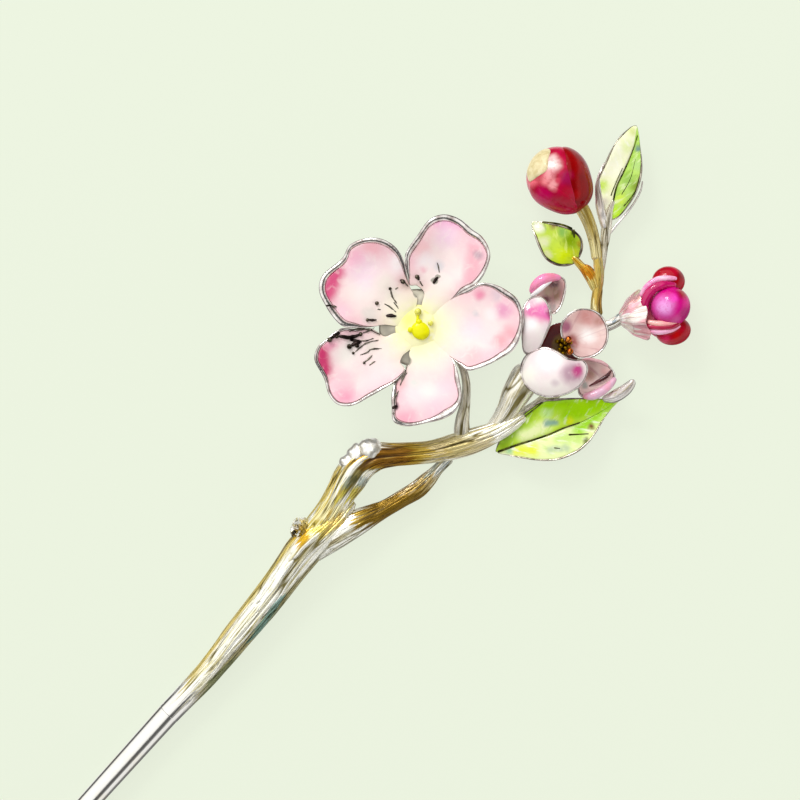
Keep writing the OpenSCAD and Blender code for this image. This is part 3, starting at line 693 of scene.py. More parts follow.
# The elbow's knobs: (x, y), radius and how far each is sunk
KNOBS = [((77.7, 3.7), 1.8, 1.4), ((75.9, 4.4), 1.7, 1.8), ((74.3, 4.8), 1.3, 1.9)]
KNOB_LIFT = 1.3
KNOB_DENT = 0.35


def build_knots():
    """Three pale lumps on the elbow, where a side twig was cut away."""
    top = half_of("branch_knot")[2] + middle_of("branch_knot")[2]
    points, faces = balls([((x, y, top - r - sunk + KNOB_LIFT), r) for (x, y), r, sunk in KNOBS], 40, 56)
    rough = noise2(points[:, 0] * 1.3, points[:, 1] * 1.3 + points[:, 2] * 0.7, 64, 9) - 0.5
    points = points + KNOB_DENT * rough[:, None] * [1, 1, 0.4]
    shell = plain_gold("knob_pearl", "#FFFEF8", "#D6D0C2", 0.34)
    marks = position_marks(points, middle_of("branch_knot"))
    marks["along"] = marks["along"] * 8
    piece("elbow_knobs", points, faces, shell, "polished_silver", ["branch_knot"], marks)


# ---------------------------------------------------------------- open blossom

# Petal outlines, anticlockwise, measured from the blossom's centre. Neighbours meet at their inner ends.
PETALS = [
    [(0.6, 1.8), (1.8, 2.1), (3, 2.8), (3.2, 4), (3.6, 4.9), (4.3, 5.9), (5.4, 7.4), (6.1, 9.4),
     (5.8, 11.6), (4.5, 13.4), (2.2, 14.6), (0, 14.2), (-3.4, 14.6), (-5.4, 13.5), (-6.4, 11.3),
     (-6.9, 9.2), (-6.8, 7.7), (-5.7, 6.2), (-4.3, 4.9), (-2.9, 3.8), (-1.9, 2.5), (-0.7, 1.8)],
    [(-1.8, 0.7), (-2.6, 1.9), (-3.9, 2.6), (-4.2, 3.8), (-4.5, 4.9), (-5.8, 6.2), (-6.9, 7.6), (-8, 8.1),
     (-9.6, 8.3), (-11.2, 8.5), (-12.9, 7.6), (-13.9, 5), (-15.1, 3), (-15.3, 1.1), (-14, -0.5),
     (-11.6, -1.4), (-9.8, -2), (-7.6, -2.6), (-5.6, -2.5), (-5.2, -1.4), (-4.2, -1), (-2.8, -1.2),
     (-1.6, -0.9)],
    [(0.1, -1.8), (-1.6, -1), (-3.3, -1.3), (-4.2, -2.2), (-5.4, -2.5), (-7.6, -2.6), (-9.3, -3.4),
     (-10.6, -4.6), (-11.9, -6.1), (-11.2, -7.9), (-9.1, -9.6), (-7, -11), (-5.1, -11.5), (-3.2, -10.9),
     (-1.5, -9), (-0.5, -7.5), (0, -6.1), (0.1, -4)],
    [(1.8, -0.3), (1.2, -1.5), (0.1, -2), (-0.05, -4), (-0.05, -6.1), (0.05, -7.7), (0.3, -9.2),
     (2.4, -10.5), (4.5, -11.3), (6.5, -11.8), (8.6, -11.2), (10.8, -9.6), (12, -7.6), (11.9, -5.4),
     (11.3, -3.6), (10.2, -2.2), (8.6, -1.5), (7.2, -1), (5, -0.5), (3, -0.3)],
    [(1.8, 0.7), (2.7, 1.8), (4.1, 2.6), (4.2, 4), (3.6, 4.8), (4.3, 5.8), (5.4, 7.3), (6.6, 8.2),
     (9.4, 8.6), (12, 8.8), (13.9, 7.8), (14.9, 5.8), (15, 3.6), (15.1, 1.6), (14.1, -0.6), (12, -1.7),
     (10, -2), (8.6, -1.6), (7.2, -1.1), (5, -0.6), (3, -0.4), (1.9, -0.4)],
]
# Colour spots of each petal, measured from the blossom's centre
PETAL_SPOTS = [
    [(((-1.8, 13.4), (-5.4, 12.2)), 1.9, "#D24478", 1.0), ((1.2, 12.7), 2.2, "#F6ABC4"),
     ((3.9, 12.2), 2.2, "#F4B4BE", 0.8), ((0.6, 10.8), 3.6, "#FADCEC", 0.7),
     ((-5.6, 9.2), 2.2, "#F8CCDA", 0.8), ((1.4, 7.6), 2.4, "#EFE6DA", 0.7),
     ((-3.2, 6.0), 1.8, "#D5D6CE", 0.7), ((1, 5.6), 1.6, "#D9D6C8", 0.5), ((3.4, 5.4), 1.6, "#E3B3B2"),
     ((4.6, 8), 2.2, "#FBF1F2")],
    [(((-13.4, 5.4), (-11.4, 7.4)), 1.8, "#CE3E70", 1.0), ((-10, 7.3), 1.3, "#EC9DB6"),
     ((-13.7, 1.3), 2.3, "#F096B2", 0.95), ((-12.4, 2.8), 2.6, "#F7C6D0", 0.8),
     ((-9.4, 4.8), 2.4, "#F6F2EA", 0.8), ((-9.4, 0.6), 3.4, "#FBDCDF", 0.8),
     ((-7.6, 5.2), 1.6, "#C9C6C0", 0.7), ((-6.4, 3), 1.4, "#DAD8C8", 0.5)],
    [((-10.4, -7.2), 2.3, "#F7AABE", 0.95), ((-9.3, -5.6), 1.6, "#F9C9D2", 0.8),
     ((-6.8, -9.4), 2.6, "#F9CEDA", 0.85), ((-3, -8), 2.4, "#F9D0DA", 0.8),
     ((-10.2, -4.9), 0.8, "#5A2438", 0.9, 0.7), ((-7.4, -3.1), 1.7, "#EDB2B6", 0.8),
     ((-6, -4.8), 1.1, "#DCE2DC", 0.7), ((-5.6, -6.8), 1.8, "#FBEFEA", 0.7)],
    [((8.9, -3.1), 1.3, "#F08FAE", 0.95), ((9.6, -7.2), 1.9, "#EDA0C4", 0.95),
     ((6.2, -9.6), 1.7, "#F0A4AE", 0.85), ((1.8, -8), 2.6, "#F8BFC4", 0.85),
     ((4.8, -5.2), 2.4, "#F9DAEA", 0.8), ((8, -9.8), 1.6, "#F2A9B4", 0.8),
     ((6.7, -4.8), 0.8, "#D9D0D8", 0.8), ((10.4, -5), 1.3, "#D9C4CE", 0.7),
     ((8.2, -6.2), 1.4, "#FBEFF0", 0.8)],
    [(((14.4, 5.6), (12.8, 7.6)), 1.7, "#F2A8CC", 0.95), ((12.2, 5.6), 2.6, "#F9D3EA", 0.8),
     ((8.4, 6.9), 2.0, "#F8C9CC", 0.85), (((9.6, -1), (13.4, 1.4)), 1.7, "#F2AEBC", 0.85),
     ((12.9, 0.5), 1.0, "#B99AA8", 0.85), ((6.5, 4.9), 0.8, "#F0A2B4"), ((7.4, 5.4), 2.0, "#F8F4F6", 0.6),
     ((8.2, 3.6), 1.2, "#D4D2D8", 0.7), ((14.2, 2.2), 1.3, "#EFC0CC", 0.8)],
]
PETAL_SECTORS = 200
# How far a petal rises at its tip, this far out, and at its sides, this far from its middle line
TIP_RISE, PETAL_REACH = 2.2, 15
CUP, CUP_REACH = 1.2, 6.0
RIM_INNER, RIM_OUTER = 0.02, 0.4
GLAZE = 0.42
HEADINGS = [np.mean(outline, axis=0) / np.linalg.norm(np.mean(outline, axis=0)) for outline in PETALS]


def petal_level(number, flat):
    """Level of a petal's metal at flat points, above the blossom's centre: it rises outwards, cups across its
    width and ripples a little."""
    out = np.linalg.norm(flat, axis=1)
    heading = HEADINGS[number]
    across = flat[:, 0] * heading[1] - flat[:, 1] * heading[0]
    rise = TIP_RISE * (out / PETAL_REACH) ** 1.7 + CUP * (across / CUP_REACH) ** 2 * smooth((out - 3) / 5)
    ripple = 0.5 * (noise2(flat[:, 0] * 0.28 + 9, flat[:, 1] * 0.28 + 9, 64, 31 + number) - 0.5)
    return rise + ripple * smooth((out - 4) / 5)


def petal_rim(number, flat):
    """Radius of a petal's rolled rim, which fades out towards the blossom's centre."""
    turn = np.arange(len(flat)) / len(flat)
    rim = RIM_INNER + (RIM_OUTER - RIM_INNER) * smooth((np.linalg.norm(flat, axis=1) - 5.5) / 4.5)
    return rim * (0.55 + 0.85 * noise2(turn * 11, number, 11, 17))


def build_petals(centre):
    """The five petals, whose enamel turns cream towards the centre."""
    heart = [(centre[:2], 9.5, "#F8ECDC", 0.75, 0.7), (centre[:2], 6.8, "#F8F3CE", 1.0, 0.75),
             (centre[:2], 4.6, "#F7F3B8", 0.9, 0.6)]
    # Grey spots painted where gaps near the centre show metal in shade
    gap_shade = [((x + centre[0], y + centre[1]), r, "#8B8B78", 0.85, 0.35) for x, y, r in GAP_SHADE_SPOTS]
    for number, spots in enumerate(PETAL_SPOTS):
        name = f"petal_{number + 1}"
        glass = enamel(f"{name}_glass", "#F8DDE0", "#FBEAE6", spots_at(centre, spots) + heart + gap_shade,
                       edge="#F6C6D0")
        build_plate(name, PETALS[number], centre, lambda flat: petal_level(number, flat),
                    lambda flat: petal_rim(number, flat), glass, (f"{name}_tray", f"{name}_enamel"),
                    glaze=GLAZE, count=PETAL_SECTORS)


# Grey spots painted on the glaze near the centre, where gaps between the petals' inner ends show grey metal
# beneath in shade, so partly painted shade: (x, y) from the blossom's centre and radius
GAP_SHADE_SPOTS = [(3.4, 3.4, 0.62), (3.4, 2.7, 0.45), (-3.2, 3.3, 0.65), (-2.7, 2.7, 0.5), (-4.4, -1.8, 0.75),
         (6.4, 2.6, 0.5), (7.0, 2.7, 0.4)]
# Stamens laid into the glaze: both ends from the blossom's centre, and the thickness in the middle
STAMENS = [
    ((-9.3, 7.9), (-7.7, 7.5), 0.36), ((-8.2, 7.3), (-5.9, 5.2), 0.4), ((-8.1, 5.2), (-6.6, 4.5), 0.42),
    ((-7.6, 5.9), (-6.6, 4.7), 0.26), ((-6.2, 6.4), (-4.2, 3.2), 0.15), ((-6.9, 4.9), (-5.2, 3.6), 0.14),
    ((-8.4, 4.2), (-4.9, 2.9), 0.15), ((-8.2, 3.4), (-6.4, 2.8), 0.12), ((-6.9, 3), (-5.5, 1.8), 0.15),
    ((-8.5, 2.3), (-7, 2.2), 0.16), ((-8.4, 1.5), (-7.4, 1.3), 0.14), ((-5.7, 5.2), (-4, 4.5), 0.11),
    ((-6.8, 6.7), (-4.9, 5.3), 0.14), ((-3.9, 5.9), (-3, 5), 0.24), ((-1.35, 6.5), (-1.2, 6.2), 0.22),
    ((-1.9, 5.9), (-1.6, 5.5), 0.12), ((-0.7, 5.7), (-0.45, 3.7), 0.13), ((1.4, 6.5), (0.5, 4.4), 0.16),
    ((0.3, 4.9), (0.15, 3.8), 0.11), ((1.8, 5.9), (2.3, 5.8), 0.14), ((3.2, 6.3), (3.4, 5.4), 0.32),
    ((3.4, 5.6), (3.3, 4.8), 0.14), ((5.2, 5), (4.9, 4.3), 0.32), ((4.9, 4.2), (4.7, 3.4), 0.12),
    ((5.9, 2.5), (7.1, 2.7), 0.3), ((7.6, 2.9), (8.4, 4.1), 0.12), ((-1.8, 4.4), (-0.8, 3.3), 0.34),
    ((-6.3, 11.4), (-5.7, 10.8), 0.21), ((-5.9, 10.9), (-5.4, 10.2), 0.16), ((-6.4, 9.8), (-6, 9.7), 0.16),
    ((-10.7, -4.8), (-9.9, -5.1), 0.34), ((-11.2, -5.5), (-10.9, -5.3), 0.18),
    ((-9.8, -4.3), (-8.2, -3.8), 0.15), ((-8.4, -2.4), (-6, -2.6), 0.15), ((-7.6, -3.5), (-5.6, -3), 0.12),
    ((-6.9, -3.0), (-4.8, -2.2), 0.13),
]
# Anthers: (x, y) from the blossom's centre and radius
ANTHERS = [(-9.4, 7.9, 0.36), (-8.4, 7.5, 0.3), (-8.3, 5.3, 0.36), (-7.5, 4.6, 0.3), (-8.6, 4.3, 0.2),
           (-1.3, 6.5, 0.28), (1.4, 6.5, 0.22), (-3.9, 5.9, 0.24), (3.3, 5.8, 0.32), (5.1, 4.8, 0.32),
           (-8.6, 2.3, 0.2), (-6, 5.3, 0.3)]


# Filaments up to this thickness are grey, and thicker ones nearly black
THIN_STAMEN = 0.2
ANTHER_LIFT = 0.05


def glaze_level(x, y):
    """Level of the glaze above the blossom's centre, on the petal that a place belongs to."""
    number = int(np.argmax([heading @ (x, y) for heading in HEADINGS]))
    return petal_level(number, np.array([[x, y]]))[0] + GLAZE


def stamen_relief(turn, along):
    """Small dents along a filament."""
    return 0.1 * (noise2(turn * 5, along * 2.5, 5, 77) - 0.5)


def build_stamens(centre):
    """Dark filaments and their anthers, half sunk in the glaze."""
    wires, marks = [], []
    for k, ((x0, y0), (x1, y1), thick) in enumerate(STAMENS):
        bend = 0.03 * math.hypot(x1 - x0, y1 - y0) * (-1) ** k
        xm, ym = (x0 + x1) / 2 - bend * (y1 - y0), (y0 + y1) / 2 + bend * (x1 - x0)
        path = [(x0, y0, thick * 0.5), (xm, ym, thick * 0.75), (x1, y1, thick * 0.35)]
        line = [(*(centre + [x, y, glaze_level(x, y)]), r) for x, y, r in path]
        group = marks if thick > THIN_STAMEN else wires
        group.append(tube(line, 26, 14, stamen_relief, 1.5)[:2])
    points, faces = gather(wires)
    piece("stamen_filaments", points, faces, plain_gold("stamen_grey", "#8E887A", "#4C463C", 0.4),
          "silver_rim",
          ["stamen_wires"])
    points, faces = gather(marks)
    piece("stamen_tips", points, faces, plain_gold("stamen_dark", "#4A3E3A", "#120C0C", 0.4), "silver_rim")
    points, faces = balls([(centre + [x, y, glaze_level(x, y) + ANTHER_LIFT], r) for x, y, r in ANTHERS],
                          16, 22)
    piece("anthers", points, faces, plain_gold("anther_dark", "#6A6254", "#221C16", 0.35), "gold_beads",
          ["anther_beads"])


# The cream lens in the blossom's middle: its radius, its top and how fast it falls away
LENS_RADIUS, LENS_TOP, LENS_FALL = 3.2, 0.74, 0.046


def build_pistil(centre):
    """Cream lens in the middle, with the lemon knob, its horns and two small beads."""
    heights = [(r, LENS_TOP - LENS_FALL * r * r) for r in np.linspace(0, LENS_RADIUS, 30)]
    profile = [(0, -0.6), (2.4, -0.6), (3.15, 0.1)] + heights[::-1]
    points, faces = lathe(profile, 140, np.eye(3), centre)
    cream = enamel("centre_cream", "#F7F3BC", "#F8F4C4", [
        ((centre[0] + 0.1, centre[1] + 1.7), 2.0, "#F8F47C"),
        ((centre[0] - 0.2, centre[1] - 2.6), 1.3, "#FCFBF2", 0.7),
    ], 0.14, lambda s, colour: s.mix(s.band(s.noise(s.at, 0.9, 2), 0.42, 0.75), colour, "#F4EE8E"))
    piece("blossom_centre", points, faces, cream, "cream_enamel", ["blossom_disc"])
    lemon = enamel("lemon", "#EDEB00", "#E6E200", [(centre + [-0.2, -1.6, 0.9], 0.8, "#CFCB00", 0.6)], 0.3,
                   cloud_scale=0.8, shine=0.1)
    knob = ball(centre + [-0.1, -0.5, 0.7], 1.2, 30, 40, (1.0, 1.12, 0.5))
    horns = balls([(centre + [-0.95, 0.6, 0.75], 0.4), (centre + [0.7, 0.45, 0.75], 0.42)], *BEAD_MESH)
    neck_path = [((0.4, 0.4, 0.75), 0.4), ((0.9, 0.9, 0.8), 0.22), ((1.5, 1.4, 0.85), 0.24)]
    neck = tube([(*(centre + at), r) for at, r in neck_path], 30, 24)
    points, faces = gather([knob, horns, neck[:2]])
    piece("pistil_knob", points, faces, lemon, "lemon_enamel", ["pistil"])
    points, faces = balls([(centre + [1.6, 1.5, 0.95], 0.5), (centre + [1.6, -0.85, 0.75], 0.36)],
                          *BEAD_MESH)
    olive = enamel("bead_olive", "#E8E45C", "#9A9434", [], 0.1, cloud_scale=1.2)
    piece("pistil_beads", points, faces, olive, "lemon_enamel")


def build_blossom():
    """Petals, calyx, centre and stamens of the open blossom."""
    disc = middle_of("blossom_disc")
    centre = np.array([disc[0], disc[1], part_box("blossom_disc")[0].z / MM + 0.6])
    build_petals(centre)
    saucer = [(0, 1.7), (1.1, 1.72), (1.4, 2.1), (1.9, 2.6), (3.4, 2.9), (4.9, 3.2), (5.2, 3.45),
              (5.0, 3.68), (0, 3.7)]
    points, faces = lathe(open_curve(saucer, 60)[0].tolist(), 96, np.eye(3), (centre[0], centre[1], 0))
    piece("open_blossom_calyx", points, faces, polished_silver("calyx_silver", 0.3, "#A8A294"),
          "polished_silver",
          ["blossom_calyx"])
    build_pistil(centre)
    build_stamens(centre)


# ---------------------------------------------------------------- half-open blossom

BULGE_REACH = 4.0
# Each petal: outline from the blossom's heart, level of its middle, how much it bulges (or hollows, when
# negative) over the reach above
HALF_OPEN = {
    "back": ([(2.3, 3.7), (3.4, 3.5), (4.7, 3.9), (6.2, 4.8), (7, 5.9), (6.5, 7.2), (5.3, 8.3), (3.8, 8.8),
              (2.4, 8.2), (1.8, 6.6), (2, 5)], 2.2, -1.3),
    "side": ([(-2.6, -5.2), (-1, -4.2), (0.3, -3.4), (1.3, -4.4), (2, -5.8), (2.2, -7.2), (1.8, -8.4),
              (0.4, -9), (-1.4, -9), (-3, -8), (-3.7, -6.6)], 1.8, -1.3),
    "right": ([(-0.2, -2.4), (0.1, -0.6), (0.8, 1.1), (2, 2.1), (3.7, 2.2), (5.3, 1.5), (6.3, 0.2),
               (6.6, -1.3), (6.1, -2.9), (5, -4.1), (3.5, -4.7), (1.8, -4.5), (0.4, -3.6)], 2.9, -1.1),
    "left": ([(-4.6, 3.1), (-3.5, 4.7), (-2, 6), (-0.5, 7.3), (1, 7.8), (2.4, 7.3), (2.9, 6.2), (2.4, 4.7),
              (1.3, 3.4), (-0.6, 2.6), (-3.4, 1.9)], 4.4, 1.4),
    "front": ([(-2.4, 2), (-1.6, 0.9), (-1.2, -0.6), (-1, -1.8), (-0.4, -2.9), (0.2, -3.7), (-0.1, -4.7),
               (-1.1, -5.4), (-2.6, -5.7), (-4.4, -5.3), (-6, -4.4), (-7.2, -3.2), (-7.8, -1.7), (-7.9, 0),
               (-7.2, 1.6), (-5.8, 2.6), (-4.2, 2.8)], 4.5, 1.3),
}
# Colour spots of each petal, measured from the blossom's heart
HALF_OPEN_SPOTS = {
    "back": [((4.6, 5.6), 2.4, "#8C6246", 1.0, 0.8), ((4.2, 6.3), 1.0, "#B8A083"),
             ((3.1, 5.9), 1.0, "#640A20", 1.0, 0.7), ((5.7, 6.5), 0.95, "#4E040E", 1.0, 0.6),
             ((2.8, 4.3), 0.9, "#A5A39C", 0.95, 0.7), ((6.3, 5.2), 0.8, "#D9A7A2")],
    "left": [(((0.4, 6.2), (1.6, 4.2)), 2.1, "#E670AC", 1.0), ((1.9, 5), 1.7, "#EE78BA", 1.0),
             ((2, 4.1), 1.0, "#9A4468", 0.9, 0.8), ((-1.2, 5.2), 1.6, "#FDFBFC"),
             ((1.6, 7.3), 0.9, "#D9AEC4", 0.8), ((0, 3.3), 1.2, "#F7E3EA", 0.8)],
    "right": [((5.2, 0), 2.2, "#D2928E", 1.0), ((2.2, 1.3), 1.4, "#A8667E", 1.0, 0.8),
              ((1.2, -0.7), 1.5, "#9C4A42", 1.0, 0.8), ((5.8, -1.6), 1.2, "#B87A70"),
              ((3.2, -1.8), 1.8, "#FBF3F0", 1.0), ((4.6, -3), 1.2, "#F0CFC8", 0.8)],
    # On the front petal, the greyish mauve spot round the dark pink one is a painted shadow of a rolled edge,
    # and the greyish pink spot at the bottom is painted shade.
    "front": [((-2.2, -3.6), 2.3, "#C4A0B0", 1.0, 0.7), ((-1.5, -4), 1.3, "#C8488A", 1.0, 0.8),
              ((-4.8, -2.7), 0.9, "#DDCCD0"), ((-3.4, -5), 1.3, "#E6D2D6", 0.8),
              ((-3, -0.2), 2.4, "#FEFCFE", 0.8), ((-6.6, 0.8), 1.6, "#FBF7EA", 0.8)],
    # On the side petal, the brown spot at (-0.7, -5.9) is a painted shadow.
    "side": [((-0.7, -5.9), 1.3, "#A97F6C", 1.0, 0.8), ((1.3, -5.8), 1.0, "#EBC7C0"),
             ((1, -7), 0.9, "#E8AFAC"), ((-2.2, -6.2), 0.8, "#8F938C", 0.9, 0.8)],
}
# Rolled edges of petals seen from outside: route from the heart (x, y, level, radius), colours
FOLDS = {
    "back_petal_hood": ([(2.3, 8, 2.6, 0.3), (3.4, 8.3, 3, 0.62), (4.8, 8, 3.1, 0.8), (6, 7.2, 2.8, 0.6),
                         (6.7, 6.3, 2.4, 0.3)], "#F28CC0", "#EE8AA6"),
    "back_petal_lip": ([(1.9, 7.7, 2.9, 0.25), (3.1, 7.5, 3.3, 0.34), (4.4, 7.3, 3.4, 0.3),
                        (5.5, 7, 3.1, 0.16)],
                       "#FBF8F8", "#E3E0E2"),
    "side_petal_roll": ([(-3.5, -6.9, 2.2, 0.35), (-2.5, -7.9, 2.4, 0.66), (-1, -8.5, 2.4, 0.6),
                         (0.4, -8.7, 2.2, 0.5), (1.5, -8.6, 2, 0.3)], "#EE9DB4", "#DDB6CE"),
    # The crease is a raised fold, and its dark maroon colour is a painted shadow band.
    "side_petal_crease_painted_shade": ([(-1.8, -6.7, 1.0, 0.08), (-0.4, -7.2, 1.1, 0.22), (0.9, -7.6, 1.2, 0.26),
                           (1.9, -7.5, 1.4, 0.12)], "#5A1A20", "#38080C"),
    "side_petal_edge": ([(0.2, -3.3, 2.6, 0.16), (1, -4.3, 2.7, 0.24), (1.7, -5.6, 2.7, 0.26),
                         (1.95, -6.8, 2.6, 0.2)],
                        "#C48A92", "#E6C6C6"),
}


def streaks_from(heart):
    """Fine streaks that fan out from the blossom's heart, inside its petals."""
    def streaks(s, colour):
        across, along = [s.along_axis(s.at, axis, heart) for axis in ((1, 0, 0), (0, 1, 0))]
        turn = s.math("MULTIPLY", s.math("ARCTAN2", along, across), 7)
        lines = s.noise(s.joined(turn, s.math("MULTIPLY", along, 0.15)), 1.0, 4)
        return s.mix(s.math("MULTIPLY", s.band(lines, 0.5, 0.68), 0.6), colour, "#B4707A")
    return streaks


def bulged(middle, level, bulge):
    """Function for the level of a petal that bulges, or hollows, round its middle."""
    return lambda flat: level + bulge * (1 - np.sum((flat - middle) ** 2, axis=1) / BULGE_REACH**2)


def half_open_rim(flat):
    """Uneven radius of a half-open petal's rim."""
    return 0.11 + 0.1 * noise2(np.arange(len(flat)) / len(flat) * 9, 0.5, 9, 7)


def build_half_open():
    """Five petals round a dark hollow with stamens."""
    beads_at = middle_of("half_open_beads")
    heart = np.array([beads_at[0], beads_at[1], 0.0])
    for word, (outline, level, bulge) in HALF_OPEN.items():
        middle = np.mean(outline, axis=0)
        placed = spots_at(heart, HALF_OPEN_SPOTS[word])
        hollow = bulge < 0
        base = ("#EFD5D0", "#DDB4B0") if hollow else ("#F9F1EC", "#F6E4E6")
        glass = enamel(f"{word}_petal_glass", *base, placed, extra=streaks_from(heart) if hollow else None)
        build_plate(f"{word}_petal", outline, heart, bulged(middle, level, bulge), half_open_rim, glass,
                    (f"{word}_petal_shell", f"{word}_petal_enamel"), glaze=0.26, thick=0.35,
                    glass_slot="rose_enamel")
    for name, (route, light, dark) in FOLDS.items():
        line = [(heart[0] + x, heart[1] + y, z, r) for x, y, z, r in route]
        points, faces, _ = tube(line, 60, 28)
        piece(name, points, faces, enamel(f"{name}_glass", light, dark, cloud_scale=0.5), "rose_enamel")
    build_half_open_middle(heart)


HALF_OPEN_FILAMENTS = 9


def build_half_open_middle(heart):
    """Receptacle, dark hollow, stamens and beads."""
    base = middle_of("half_open_calyx")
    cup = [(0, -2.4), (1.3, -2.2), (1.8, -1.2), (2.1, 0), (2.2, 1.2), (2.0, 1.6), (1.5, 1.5), (0, 1.2)]
    points, faces = lathe(open_curve(cup, 60)[0].tolist(), 80, turned(78, 4), base + [-0.8, -0.2, -0.3])
    marks = position_marks(points, base)
    cream = bark_metal("receptacle_cream", crest="#FBF8EA", wash="#F0EAD2", shade="#B8AD88")
    piece("half_open_cup", points, faces, cream, "silver_bark", ["half_open_calyx"], marks)
    hollow = enamel("hollow_maroon", "#6E1C1C", "#4E080C", [
        (heart[:2] + [-0.6, 2.0], 1.7, "#560206", 1.0, 0.4),
        (heart[:2] + [0.9, 1.9], 1.0, "#560206", 1.0, 0.4),
        (heart[:2] + [0, -0.2], 1.9, "#6A4C06", 1.0, 0.4),
    ], shine=0.05)
    outline = [(-2.8, 2.1), (-0.8, 2.9), (1.2, 2.8), (2.4, 1.6), (2.2, -1), (1, -2.9), (-1, -2.6), (-2, 0)]
    build_plate("half_open_hollow", outline, heart, lambda flat: 1.6 + 0 * flat[:, 0],
                lambda flat: 0.03 + 0 * flat[:, 0], hollow, (None, None), glass_slot="crimson_enamel")
    rods = []
    for k in range(HALF_OPEN_FILAMENTS):
        a = 2 * math.pi * k / HALF_OPEN_FILAMENTS + 0.3
        out = 0.45 + 0.4 * (k % 3)
        top = heart + [out * math.cos(a) - 0.1, out * math.sin(a) - 0.3, 3.1 + 0.3 * (k % 2)]
        low = heart + [0.3 * math.cos(a), 0.3 * math.sin(a), 1.9]
        rods.append(tube([(*low, 0.3), (*((low + top) / 2), 0.26), (*top, 0.34)], 20, 14)[:2])
    points, faces = gather(rods)
    olive = plain_gold("stamen_olive", "#A07C10", "#5E4606", 0.3)
    piece("half_open_filaments", points, faces, olive, "gold_beads", ["half_open_stamens"])
    points, faces = balls([(heart + [x, y, 3.9], 0.5) for x, y in ((0.95, -0.15), (-0.15, -1.4))],
                          *BEAD_MESH)
    orange = plain_gold("bead_orange", "#E08A3A", "#8A3408", 0.14)
    piece("half_open_anthers", points, faces, orange, "gold_beads", ["half_open_beads"])


# ---------------------------------------------------------------- buds

def cupped(top, turn, radius):
    """Placer that bends flat points over a sphere of that radius, whose outermost point is `top`."""
    def place(flat, lift):
        out = np.linalg.norm(flat, axis=1)
        unit = flat / np.maximum(out, 1e-9)[:, None]
        angle = out / radius
        level = radius + lift
        local = np.column_stack([unit * (level * np.sin(angle))[:, None], level * np.cos(angle) - radius])
        return local @ turn.T + top
    return place


# Half of how far a bud petal's plate stops short of its outline
BUD_MARGIN = 0.16


def bud_petal(name, nodes, middle, radius, direction, outline, thickness, material, slot, shape=None):
    """A petal that lies on a round bud: an outline in degrees of arc about a direction, bent over the bud.
    shape(points) may push its points about, as it does the bud's own."""
    edge = np.radians(closed_curve(outline, 132)) * radius
    centre = edge.mean(axis=0)
    direction = np.asarray(direction) / np.linalg.norm(direction)
    tilt = math.degrees(math.acos(direction[2]))
    heading = math.degrees(math.atan2(direction[1], direction[0]))
    place = cupped(np.asarray(middle) + direction * radius, turned(tilt, heading), radius)

    def face(share):
        return thickness * (1 - 0.85 * np.clip(share, 0, 1) ** 10)

    margin = np.full(len(edge), BUD_MARGIN)
    points, faces, marks = dish(edge, centre, place, margin, face, lambda f: -0.3, False)
    if shape:
        points = shape(points)
    return piece(name, points, faces, material, slot, nodes, marks)


# Where the red bud runs down into its stalk, and how far
DROP_AXIS = np.array([-0.12, -0.97, -0.1])
DROP_REACH = 1.1


def build_red_bud():
    """Drop-shaped bud: a core with petals folded over it, a worn gilded patch and a painted highlight."""
    middle, radius = middle_of("red_bud_core"), half_of("red_bud_core")[0]

    def drop(points):
        offset = points - middle
        share = smooth((offset @ DROP_AXIS / radius - 0.3) / 0.7)
        return points + DROP_REACH * share[:, None] ** 1.3 * DROP_AXIS

    rose = enamel("bud_rose", "#C00642", "#A60026", spots_at(middle, [
        # The spots at (0.6, 1.8), (-0.7, 1.2) and (-1.6, 1) are a painted highlight, white fading to pink.
        ((-3.4, -0.2), 1.9, "#C60058", 1.0), ((-1.4, -0.3), 1.1, "#F2A0A4", 1.0, 0.8),
        ((-1.6, 1), 1.3, "#F08A90"), ((0.6, 1.8), 1.7, "#F8E0DC", 1.0, 0.75),
        ((-0.7, 1.2), 1.2, "#EFA8AC", 0.8), ((0.5, -1.1), 1.6, "#A2104E", 1.0, 0.8),
        ((-0.7, -0.4), 0.7, "#D03050", 0.9, 0.8), ((-3, 2.2), 1.2, "#E8707E"), ((-1, -2.2), 1.2, "#B8082E"),
    ]), 0.12, cloud_scale=0.4, shine=0.12)
    deep = enamel("bud_deep_red", "#960002", "#800002", spots_at(middle, [
        ((3.7, 2.8), 1.2, "#B83A40", 0.8), ((1.2, -1.2), 1.0, "#9A0638", 0.8),
        ((-0.3, -3.6), 1.2, "#A60206"),
    ]), 0.12, cloud_scale=0.3, shine=0.05)
    points, faces = ball(middle, radius, 64, 96)
    piece("red_bud_ball", drop(points), faces, rose, "red_enamel", ["red_bud_core"])
    bud_petal("red_bud_dark_petal", ["red_bud_dark_wrap"], middle, radius, (0.66, -0.5, 0.56),
              [(58, 0), (50, 44), (22, 72), (-8, 66), (-34, 34), (-42, 10), (-38, -22), (-16, -66),
               (8, -96), (40, -70)], 0.2, deep, "red_enamel", drop)
    bud_petal("red_bud_rose_petal", ["red_bud_rose_wrap"], middle, radius, (-0.7, -0.3, 0.64),
              [(50, 0), (36, 46), (6, 52), (-16, 34), (-30, 6), (-28, -30), (0, -56), (36, -42)], 0.18,
              rose,
              "crimson_enamel", drop)
    gilt = enamel("bud_gilt", "#E6D8B0", "#CDBB8A", [], 0.3, cloud_scale=0.9, shine=0.1)
    bud_petal("red_bud_gilt_patch", ["red_bud_cap"], middle, radius, (-0.12, 0.72, 0.68),
              [(38, -6), (32, 28), (10, 42), (-14, 24), (-26, 4), (-14, -18), (4, -38), (28, -38)], 0.2,
              gilt, "gilt_cap")


